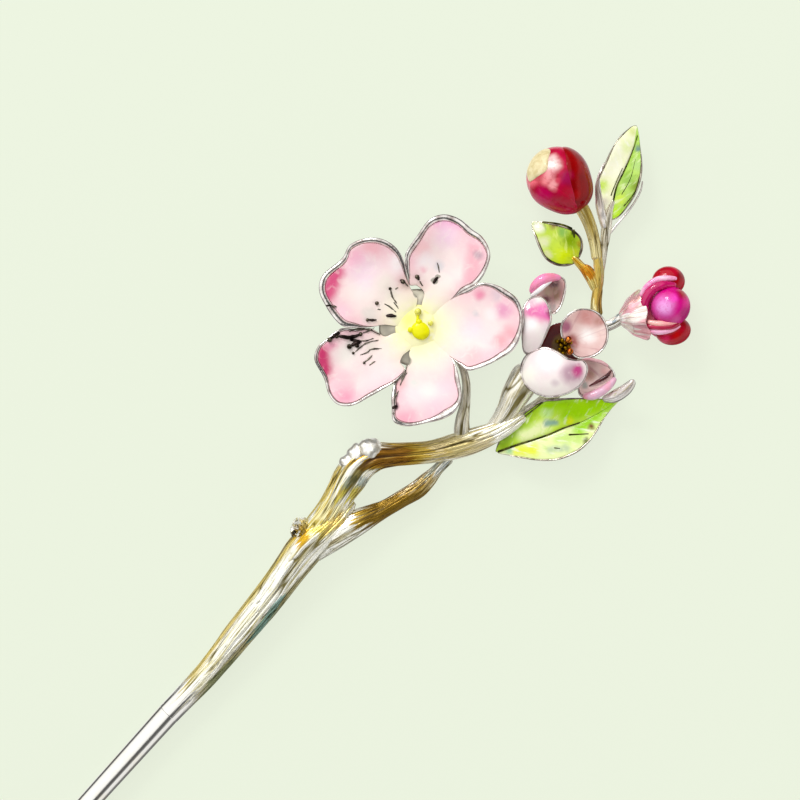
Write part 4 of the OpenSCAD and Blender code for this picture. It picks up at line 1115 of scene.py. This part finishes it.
# Petal edges that show round the magenta bud's front petal: route (x, y, z, radius), colours. The fifth
# edge's pale pink is a painted highlight.
BUD_EDGES = [
    ([(115.9, -13.9, 3.2, 0.3), (116.7, -15, 3.6, 0.5), (118, -16, 3.8, 0.5), (119.3, -16.7, 3.4, 0.25)],
     "#F9BFE0", "#F4A0C4"),
    ([(116.1, -13.2, 3.6, 0.3), (117.2, -14.6, 4.0, 0.5), (118.4, -15.8, 4.1, 0.5),
      (119.5, -16.4, 3.7, 0.3)],
     "#C40A4C", "#A80838"),
    ([(116.6, -12.9, 3.9, 0.3), (117.4, -14.2, 4.2, 0.42), (118.6, -15.4, 4.3, 0.4),
      (120, -16.2, 3.9, 0.25)],
     "#F8B8B0", "#F29CA0"),
    ([(117.4, -12, 3.6, 0.4), (118.4, -10.8, 4.0, 0.6), (120.2, -10.4, 4.3, 0.65), (121.8, -11.1, 4.2, 0.6),
      (123.1, -12.5, 3.5, 0.35)], "#D00A6E", "#B8085A"),
    # A petal edge whose pale pink is a painted highlight
    ([(118.6, -9.9, 3.6, 0.3), (120, -9.6, 4.1, 0.42), (121.6, -9.9, 4.3, 0.42), (122.9, -10.9, 4.1, 0.4),
      (123.8, -12, 3.5, 0.25)],
     "#FAD0E8", "#F07CB8"),
    ([(123.7, -10.2, 3.0, 0.12), (124.2, -11.1, 3.1, 0.18), (124.5, -11.9, 2.8, 0.12)], "#F6C0BA",
     "#EE9A98"),
]
# Heading across the bud, from its stalk to its front
BUD_HEADING = -48
BELL_LENGTH = 3.6
BELL_SQUASH = 0.74
# Lobes round the bell's mouth, and how deep they are
BELL_LOBES = 6
LOBE_DEPTH = 0.5


def build_magenta_bud():
    """Opening bud: a round front petal and two folded ones in a pale bell, with petal edges between."""
    middle, radius = middle_of("magenta_bud_ball"), half_of("magenta_bud_ball")[0]
    magenta = enamel("bud_magenta", "#D40A86", "#C60676", spots_at(middle, [
        # The lilac-pink spots at (-0.7, 0.7) and (-0.8, 0.6) are a painted highlight.
        ((-0.7, 0.7), 2.2, "#E070C4", 1.0, 0.8), ((-0.8, 0.6), 1.3, "#EEA4E4"),
        ((1.0, 0.5), 1.0, "#F23CC0", 0.8), ((2.4, 0), 1.4, "#A00420", 1.0, 0.8),
        ((0.4, -2.3), 1.6, "#A8046C", 0.9, 0.8), ((-1.2, -1.8), 1.1, "#D04A98", 0.8),
    ]), 0.1, cloud_scale=0.5, shine=0.2)
    points, faces = ball(middle, radius, 56, 80)
    piece("magenta_bud_front", points, faces, magenta, "magenta_enamel", ["magenta_bud_ball"])
    crimson = enamel("bud_crimson", "#B60228", "#9C0212", [
        # The two #7A0410 spots are painted shade at the lobes' ends.
        ((124.6, -12.2), 0.9, "#7A0410"), ((120.6, -17.2), 0.8, "#7A0410"), ((118, -17.2), 1.2, "#BC0404"),
        ((116.4, -16.4), 0.9, "#DC2A62"),
    ], 0.1, cloud_scale=0.5, shine=0.15)
    lobes = {"upper": ((122.9, -11.4, 2.0), (2.3, 2.1), -48),
             "lower": ((118.2, -16.5, 1.9), (2.5, 2.0), -40)}
    for word, (at, (long, short), heading) in lobes.items():
        points, faces = ball((0, 0, 0), 1.0, 48, 64, (long, short, 1.9))
        points = points @ turned(0, heading).T + at
        piece(f"magenta_bud_{word}_fold", points, faces, crimson, "crimson_enamel",
              [f"magenta_bud_{word}_petal"])
    for number, (route, light, dark) in enumerate(BUD_EDGES):
        points, faces, _ = tube(route, 60, 24)
        glass = enamel(f"bud_edge_glass_{number + 1}", light, dark, cloud_scale=0.6)
        piece(f"magenta_bud_edge_{number + 1}", points, faces, glass, "crimson_enamel")
    salmon = enamel("bud_salmon", "#D8286E", "#E8588C", [
        ((117.6, -10.6), 1.9, "#F0A0B0"), ((116.6, -12.6), 1.8, "#F2A8A8"),
        ((121.0, -10.2), 1.3, "#F4B0C8", 0.8), ((117.4, -15.2), 1.2, "#F4A8B0", 0.8),
    ], 0.12, cloud_scale=0.6, shine=0.15)
    points, faces = ball((0, 0, 0), 1.0, 48, 64, (3.1, 4.4, 1.8))
    points = points @ turned(0, BUD_HEADING).T + middle + [-0.6, 0.6, -1.7]
    piece("magenta_bud_back_petal", points, faces, salmon, "crimson_enamel")
    build_bell()


def build_bell():
    """Pale bell round the back of the magenta bud, with thin ribs."""
    start = np.array([114.5, -9.9, 1.9])
    axis = turned(90, -38)
    wall = [(0, -0.1), (0.9, 0), (1.7, 0.7), (2.6, 1.6), (3.1, 2.6), (3.6, BELL_LENGTH), (3.4, 3.7),
            (2.8, 2.8), (2.2, 1.9), (0, 1.2)]
    points, faces = lathe(open_curve(wall, 110)[0].tolist(), 140, axis, (0, 0, 0))
    ahead = axis[:, 2]
    along = points @ ahead
    side = points - along[:, None] * ahead
    angle = np.arctan2(side[:, 2], side @ np.cross([0, 0, 1.0], ahead))
    scallop = 0.5 + 0.5 * np.cos(BELL_LOBES * angle + 0.9)
    points = points - (LOBE_DEPTH * smooth(along / BELL_LENGTH) * scallop)[:, None] * ahead
    points = points * [1, 1, BELL_SQUASH] + start
    bell = bark_metal("bell_cream", [
        # The white spot at (115.2, -9.9) is a painted highlight.
        ((116.2, -9.7), 1.5, "#F0AEBC"), ((118.6, -8.9), 1.4, "#F3E6C8"), ((115.2, -9.9), 1.0, "#FFFFFF"),
        ((122.0, -9.0), 1.8, "#F4C8CC"), ((115.6, -13.4), 2.2, "#F0A8B4"), ((117.6, -9.6), 1.6, "#F2B4C0"),
    ], "#FBF2EC", "#F3DCD8", "#C9B2A8")
    marks = {"across": 2 * np.cos(angle), "upward": 2 * np.sin(angle), "along": along, "groove": 0 * along}
    piece("magenta_bud_bell", points, faces, bell, "silver_bark", ["magenta_bud_calyx"], marks)


# ---------------------------------------------------------------- leaves

class Leaf:
    """A leaf's lie: where its base is, which way it points, and its levels. midrib is points from the base
    to the tip."""

    def __init__(self, word, heading, length, level, slope, fold, arch, midrib):
        self.word = word
        self.base = np.array(midrib[0], float)
        self.axis = np.array([math.cos(math.radians(heading)), math.sin(math.radians(heading))])
        self.side = np.array([-self.axis[1], self.axis[0]])
        self.length, self.slope, self.fold, self.arch, self.start = length, slope, fold, arch, level
        self.midrib = np.array(midrib, float)

    def level(self, flat):
        offset = np.asarray(flat) - self.base
        rib = self.midrib - self.base
        along = offset @ self.axis
        off = offset @ self.side - np.interp(along, rib @ self.axis, rib @ self.side)
        u = np.clip(along / self.length, 0, 1)
        wave = 0.12 * np.sin(7 * u + 0.9 * off)
        arch = self.arch * np.sin(math.pi * u)
        return self.start + self.slope * u + self.fold * np.abs(off) / 4 + arch + wave


def leaf_glass(name, leaf, base, second, light, dark, spots):
    """Green enamel with pale and dark streaks that leave the midrib at a slant."""
    def grain(s, colour):
        u = s.along_axis(s.at, (*leaf.axis, 0), (*leaf.base, 0))
        v = s.along_axis(s.at, (*leaf.side, 0), (*leaf.base, 0))
        fan = s.math("SUBTRACT", s.math("MULTIPLY", u, 0.5), s.math("MULTIPLY", s.math("ABSOLUTE", v), 0.6))
        lines = s.noise(s.joined(fan, s.math("MULTIPLY", v, 0.35)), 1.7, detail=4)
        colour = s.mix(s.math("MULTIPLY", s.band(lines, 0.54, 0.7), 0.65), colour, light)
        return s.mix(s.math("MULTIPLY", s.band(lines, 0.44, 0.3), 0.5), colour, dark)
    return enamel(name, base, second, spots, 0.14, grain, 0.25, shine=0.2)


# Radius of a leaf's rim where it runs along the midrib
THIN_RIM = 0.04
# Points along a vein's wire, and its height above the leaf's metal
VEIN_POINTS, VEIN_LEVEL = 14, 0.24


def build_leaf(leaf, halves, veins, nodes, rim_r=0.2):
    """Enamelled halves, each with its rolled rim, and dark wires for the veins. halves are (word, outline,
    glass); nodes are the CAD nodes of the frame and of each half's enamel."""
    def rim(flat):
        rib = leaf.midrib
        gap = np.min(np.linalg.norm(flat[:, None, :] - open_curve(rib, 60)[0][None], axis=2), axis=1)
        uneven = 0.8 + 0.4 * noise2(flat[:, 0], flat[:, 1], 64, 13)
        return THIN_RIM + (rim_r - THIN_RIM) * smooth((gap - 0.2) / 1.2) * uneven

    frame_node, *glass_nodes = nodes
    for k, (word, outline, glass) in enumerate(halves):
        build_plate(f"{leaf.word}_{word}", outline, np.zeros(3), leaf.level, rim, glass,
                    (frame_node if k == 0 else None, glass_nodes[k]), glaze=0.26, thick=0.4, count=180,
                    glass_slot="leaf_enamel", metal=LEAF_RIM)
    wires = []
    for route, thick in veins:
        flat, _ = open_curve(route, VEIN_POINTS)
        level = leaf.level(flat) + VEIN_LEVEL
        radius = thick * np.linspace(1.1, 0.6, VEIN_POINTS)
        wires.append(tube(np.column_stack([flat, level, radius]).tolist(), 90, 14)[:2])
    points, faces = gather(wires)
    piece(f"{leaf.word}_veins", points, faces, VEIN_METAL, "silver_rim")


def build_big_leaf():
    """Leaf under the blossoms, with a curled tip."""
    rib = [(89.3, -9.7), (91.8, -11), (94, -12.3), (96, -13.4), (98, -14.3), (100.1, -15.5), (103, -16.6),
           (106.2, -17.5)]
    leaf = Leaf("big_leaf", -25, 18.6, 0.1, 0.3, 0.9, 0.9, rib)
    upper = leaf_glass("big_leaf_upper", leaf, "#CFEE58", "#BCE62C", "#F0F8D0", "#9CCC1C", [
        (((90.8, -9.2), (97, -9.4)), 1.9, "#92BC08", 0.95),
        (((93.4, -10.9), (96.4, -12.2)), 1.5, "#F0F6BC"), (((96.8, -12), (97.8, -13)), 0.8, "#86ACA0"),
        (((99, -10.2), (104.6, -16.4)), 2.4, "#AAE600", 1.0),
        (((99.6, -13.6), (103, -15.4)), 1.7, "#A6E200", 1.0), ((99.3, -14.3), 0.9, "#E4EE10"),
        (((91.6, -8.8), (94.4, -8.8)), 0.7, "#6E9A34", 0.8), ((97.8, -11.2), 1.2, "#CCF2A8", 0.8),
    ])
    lower = leaf_glass("big_leaf_lower", leaf, "#E6F6A4", "#EEF9B4", "#FBFBEE", "#B4D65A", [
        (((91.4, -11.6), (92.8, -13.2)), 1.4, "#E9F034", 0.95), ((90.6, -10.8), 0.9, "#9CCF98"),
        (((94.6, -15), (96.2, -16.4)), 0.9, "#BCD0A4"), (((96.6, -14.8), (98.2, -16.6)), 1.3, "#C6E478"),
        (((99.4, -16), (104.4, -17)), 1.5, "#A0DC10", 1.0), ((100.6, -17.1), 0.75, "#6E2E0C", 1.0),
        ((98.6, -17.7), 0.8, "#5C6A1C"),
    ])
    upper_edge = [(105.4, -16.5), (104.1, -14.9), (102.4, -12.9), (100.6, -11), (98.8, -9.4), (96, -8.7),
                  (93.4, -8.4), (91.2, -8.6), (89.8, -9.1)]
    lower_edge = [(104.4, -17.5), (102.5, -17.7), (101, -18), (99, -18.2), (97, -18), (95.4, -17.4),
                  (93.8, -16.4), (92.3, -14.8), (91, -12.9), (90, -11.2)]
    halves = [("upper", rib + upper_edge, upper), ("lower", rib + lower_edge, lower)]
    veins = [(rib[:6], 0.15), ([(97.7, -15.4), (98.7, -16.4), (99.7, -17.4)], 0.12),
             ([(95, -15.1), (95.5, -15.8)], 0.09), ([(91.3, -8.9), (95, -9.1), (98.7, -9.7)], 0.12)]
    build_leaf(leaf, halves, veins, ("big_leaf_frame", "big_leaf_upper_enamel", "big_leaf_lower_enamel"),
               0.17)
    curl = [(104.5, -15.6, 0.9, 0.4), (105.8, -16.5, 1.3, 0.85), (107.3, -17, 2, 0.85),
            (108.6, -17.1, 2.6, 0.65), (109.4, -16.9, 3, 0.35)]
    points, faces, marks = tube(curl, 100, 48)
    marks["groove"] = 0 * marks["along"]
    shell = bark_metal("curl_silver", [((106.9, -15.9), 0.9, "#B4B08A")], "#F4F1EE", "#D6CBC8", "#6E6058")
    piece("big_leaf_curl", points, faces, shell, "silver_rim", marks=marks)


def sheath_relief(turn, along):
    """Dents in the sheath beside the long leaf."""
    return 0.16 * (noise2(turn * 4, along * 1.1, 4, 83) - 0.5)


def build_long_leaf():
    """Slender leaf beside the red bud, cream on one half and green on the other."""
    rib = [(124.2, 0.7), (126, 1.7), (128, 2.8), (131, 3.7), (133.5, 4.6), (135.2, 5.4), (136.1, 6.3)]
    leaf = Leaf("long_leaf", 26.5, 13.2, 0.9, 0.4, 0.8, 0.5, rib)
    upper = leaf_glass("long_leaf_upper", leaf, "#FBFBE2", "#F6F9C8", "#FEFEF4", "#EAF2B0", [
        ((126.6, 4.3), 1.3, "#C4E83C", 0.95), ((133, 5.4), 1.5, "#E2F0A0", 0.7),
        ((135, 6.4), 0.9, "#D4DC88", 0.8), ((129.5, 4.9), 1.8, "#FDFCE4"), ((125, 2.6), 1.2, "#D8CFBC"),
    ])
    lower = leaf_glass("long_leaf_lower", leaf, "#A2CE44", "#B9DE68", "#EEF8C4", "#7EA42C", [
        ((125.1, 0.6), 1.5, "#C2F200", 1.0), ((127, 1.1), 1.3, "#D4F04C"), ((129.6, 2.2), 1.5, "#93BE50"),
        ((132, 2.7), 1.3, "#AED27C"), ((129.8, 0.6), 1.3, "#859E24", 0.95),
        ((133.8, 4.1), 0.9, "#6E8C86", 0.95),
    ])
    upper_edge = [(135.6, 6.8), (134.6, 7), (133, 7.1), (131, 6.75), (129, 6.15), (127, 5.4), (125.5, 4.4),
                  (124.3, 3), (123.8, 1.5)]
    lower_edge = [(135.4, 5.3), (134.5, 4.3), (133, 2.6), (131.2, 1.1), (129, 0.1), (126.8, -0.3),
                  (124.9, -0.3), (124, 0.2)]
    halves = [("upper", rib + upper_edge, upper), ("lower", rib + lower_edge, lower)]
    veins = [(rib[1:6], 0.1), ([(126.4, 2.5), (128.2, 3.2), (130.4, 3.9)], 0.08),
             ([(126.5, 0.2), (129, 0.4), (131, 1.4)], 0.07),
             ([(127.5, 1.5), (130, 2.1), (132.5, 3.4)], 0.06)]
    build_leaf(leaf, halves, veins, ("long_leaf_frame", "long_leaf_upper_enamel", "long_leaf_lower_enamel"),
               0.17)
    sheath = [(122.4, -0.2, 1, 0.5), (123.6, 1.6, 1.3, 0.62), (124.8, 3.2, 1.6, 0.6),
              (126.2, 4.7, 1.7, 0.42), (127.8, 5.7, 1.6, 0.3), (129.4, 6.2, 1.5, 0.2)]
    hem = [(121.4, -0.9, 0.9, 0.25), (124, -0.8, 0.9, 0.2), (127, -0.7, 0.9, 0.17),
           (129.6, -0.2, 0.9, 0.13), (131, 0.6, 1, 0.1)]
    for name, route, sides, relief in (("sheath", sheath, 40, sheath_relief), ("hem", hem, 20, None)):
        points, faces, marks = tube(route, 120, sides, relief)
        marks["groove"] = 0 * marks["along"]
        piece(f"long_leaf_{name}", points, faces, SHEATH_METAL, "silver_bark", marks=marks)


def build_small_leaf():
    """Small cupped leaf by the red bud, with a pale tip and a dark edge."""
    rib = [(116.4, 0.1), (116.6, 2), (116.6, 4), (116.5, 6), (116.4, 8.1)]
    leaf = Leaf("small_leaf", 90, 8, 1.0, 0.2, 0.8, 0.8, rib)
    glass = leaf_glass("small_leaf_glass", leaf, "#B4D234", "#C2DC40", "#E2F080", "#80981C", [
        ((115.9, 1.9), 2.2, "#CFE40C", 1.0), ((118, 2.6), 1.7, "#86A800", 1.0),
        ((118, 4.2), 1.2, "#84B84C", 0.95), ((117.1, 0.9), 1.0, "#C9D41C"), ((115.2, 5.2), 1.5, "#DCE0B4"),
        ((116.5, 7.3), 1.5, "#F8F4F4", 1.0), ((118.2, 5.7), 1.1, "#8E6448", 0.95),
        ((119, 3), 0.6, "#1E2008", 0.95), ((118.5, 1.1), 0.8, "#A8820C"), ((114.4, 3.6), 0.9, "#D8D8A8"),
    ])
    outline = [(116.4, -0.1), (115, 0.5), (114, 1.8), (113.7, 3.4), (114.2, 5), (115, 6.5), (115.7, 7.6),
               (116.4, 8.2), (117.2, 7.4), (118.2, 6), (119, 4.4), (119.4, 2.9), (119.2, 1.4), (118.1, 0.3)]
    veins = [([(119.3, 3.4), (118.9, 4.6), (118.2, 5.9), (117.3, 7.2)], 0.15),
             ([(119.4, 3.2), (118.6, 2.4)], 0.14)]
    build_leaf(leaf, [("blade", outline, glass)], veins, ("small_leaf_frame", "small_leaf_enamel"), 0.2)


def build_leaves():
    """The three leaves."""
    build_big_leaf()
    build_long_leaf()
    build_small_leaf()


# ---------------------------------------------------------------- stage, light and camera

# Turn about Z between the part's frame and the frame in which the spray grows straight up
VIEW_TURN = 48.0


def towards(right, up, height=0.0):
    """Vector in the part's frame from one in the frame that has `up` along the spray's growth."""
    a = math.radians(VIEW_TURN)
    return np.array([right * math.cos(a) + up * math.sin(a), -right * math.sin(a) + up * math.cos(a),
                     height])


# Half the floor's width, and how far below the pin it lies, in metres
FLOOR_HALF = 6.0
FLOOR_GAP = 0.0002


def build_stage():
    """Pale floor under the pin, which glows a little, so that shadows stay faint."""
    mesh = bpy.data.meshes.new("floor")
    z = cad_bounds[0].z - FLOOR_GAP
    corners = [(x * FLOOR_HALF, y * FLOOR_HALF, z) for x, y in ((-1, -1), (1, -1), (1, 1), (-1, 1))]
    mesh.from_pydata(corners, [], [(0, 1, 2, 3)])
    floor = bpy.data.objects.new("floor", mesh)
    bpy.context.scene.collection.objects.link(floor)
    floor.visible_glossy = False
    material = bpy.data.materials.new("floor_paint")
    material.use_nodes = True
    surface = material.node_tree.nodes["Principled BSDF"]
    surface.inputs["Base Color"].default_value = tint("#5A6255")
    surface.inputs["Roughness"].default_value = 0.9
    surface.inputs["Specular IOR Level"].default_value = 0.1
    surface.inputs["Emission Color"].default_value = tint("#F4FAE8")
    surface.inputs["Emission Strength"].default_value = 0.8
    mesh.materials.append(material)


def area_light(name, place, aim, width, height, power, colour=(1, 1, 1), glossy=True):
    """A soft rectangle of light, in metres and watts, which the camera doesn't see."""
    light = bpy.data.lights.new(name, "AREA")
    light.shape = "RECTANGLE"
    light.size, light.size_y = width, height
    light.energy = power
    light.color = colour
    made = bpy.data.objects.new(name, light)
    bpy.context.scene.collection.objects.link(made)
    made.location = place
    made.rotation_euler = (Vector(aim) - Vector(place)).to_track_quat("-Z", "Y").to_euler()
    made.visible_camera = False
    made.visible_glossy = glossy


# Brightness of the room against how far a direction leans to the bright side: -1 is 0 and 1 is 1
ROOM = [(0.0, 0.15), (0.07, 0.25), (0.13, 0.85), (0.36, 0.95), (0.45, 0.25), (0.54, 0.1), (0.7, 0.12),
        (0.79, 1.0), (1.0, 1.2)]
BRIGHT_SIDE = (-0.497, 0.448, 0.743)
ROOM_STRENGTH = 1.05
# Point that the lights aim at, in metres
LIGHT_AIM = np.array([0.1, 0.0, 0.0])


def build_light():
    """Soft white room, bright overhead and on the upper left, with a dark band low on the other side, which
    draws dark lines on the metal."""
    world = bpy.data.worlds.new("studio")
    bpy.context.scene.world = world
    world.use_nodes = True
    tree = world.node_tree
    background = tree.nodes["Background"]
    ray = tree.nodes.new("ShaderNodeTexCoord").outputs["Generated"]
    lean = tree.nodes.new("ShaderNodeVectorMath")
    lean.operation = "DOT_PRODUCT"
    tree.links.new(ray, lean.inputs[0])
    lean.inputs[1].default_value = tuple(towards(*BRIGHT_SIDE))
    span = tree.nodes.new("ShaderNodeMapRange")
    tree.links.new(lean.outputs["Value"], span.inputs["Value"])
    span.inputs["From Min"].default_value = -1
    span.inputs["From Max"].default_value = 1
    ramp = tree.nodes.new("ShaderNodeValToRGB")
    tree.links.new(span.outputs[0], ramp.inputs["Fac"])
    ramp.color_ramp.elements.remove(ramp.color_ramp.elements[1])
    for k, (at, grey) in enumerate(ROOM):
        stop = ramp.color_ramp.elements[0] if k == 0 else ramp.color_ramp.elements.new(at)
        stop.position = at
        stop.color = (grey, grey, grey * 0.98, 1)
    tree.links.new(ramp.outputs["Color"], background.inputs["Color"])
    background.inputs["Strength"].default_value = ROOM_STRENGTH
    area_light("key", LIGHT_AIM + towards(-0.2, 0.42, 0.38), LIGHT_AIM, 0.2, 0.16, 1.6)
    area_light("fill", LIGHT_AIM + towards(0.5, -0.1, 0.3), LIGHT_AIM, 0.08, 0.4, 0.6, (1.0, 0.97, 0.9),
               False)


# Width that the camera sees at the shank's axis, its lens and the point that it looks at
VIEW_WIDTH = 0.112
VIEW_LENS = 120.0
VIEW_SENSOR = 36.0
VIEW_CENTRE = (0.0856, 0.0053)


def build_camera():
    """Looks straight down on the spray, rolled so that the shank comes in from the lower left."""
    camera = bpy.data.cameras.new("camera")
    camera.lens = VIEW_LENS
    camera.sensor_width = VIEW_SENSOR
    made = bpy.data.objects.new("camera", camera)
    bpy.context.scene.collection.objects.link(made)
    made.location = (*VIEW_CENTRE, VIEW_WIDTH * VIEW_LENS / VIEW_SENSOR)
    made.rotation_euler = (0, 0, math.radians(-VIEW_TURN))
    camera.clip_start = 0.01
    bpy.context.scene.camera = made


SILVER_RIM = rim_metal("silver_rim", "#EFEAE6", "#B5A6A2")
LEAF_RIM = rim_metal("leaf_rim", "#CFC6B6", "#766A5C")
VEIN_METAL = plain_gold("vein_dark", "#6A6A34", "#2A2C10", 0.4)
SHEATH_METAL = bark_metal("sheath_silver", crest="#F6F1EE", wash="#DCCFC6", shade="#7A6C62")
build_shank()
build_twigs()
build_stub()
build_knots()
build_blossom()
build_half_open()
build_red_bud()
build_magenta_bud()
build_leaves()
build_stage()
build_light()
build_camera()
bpy.context.scene.view_settings.view_transform = "Standard"
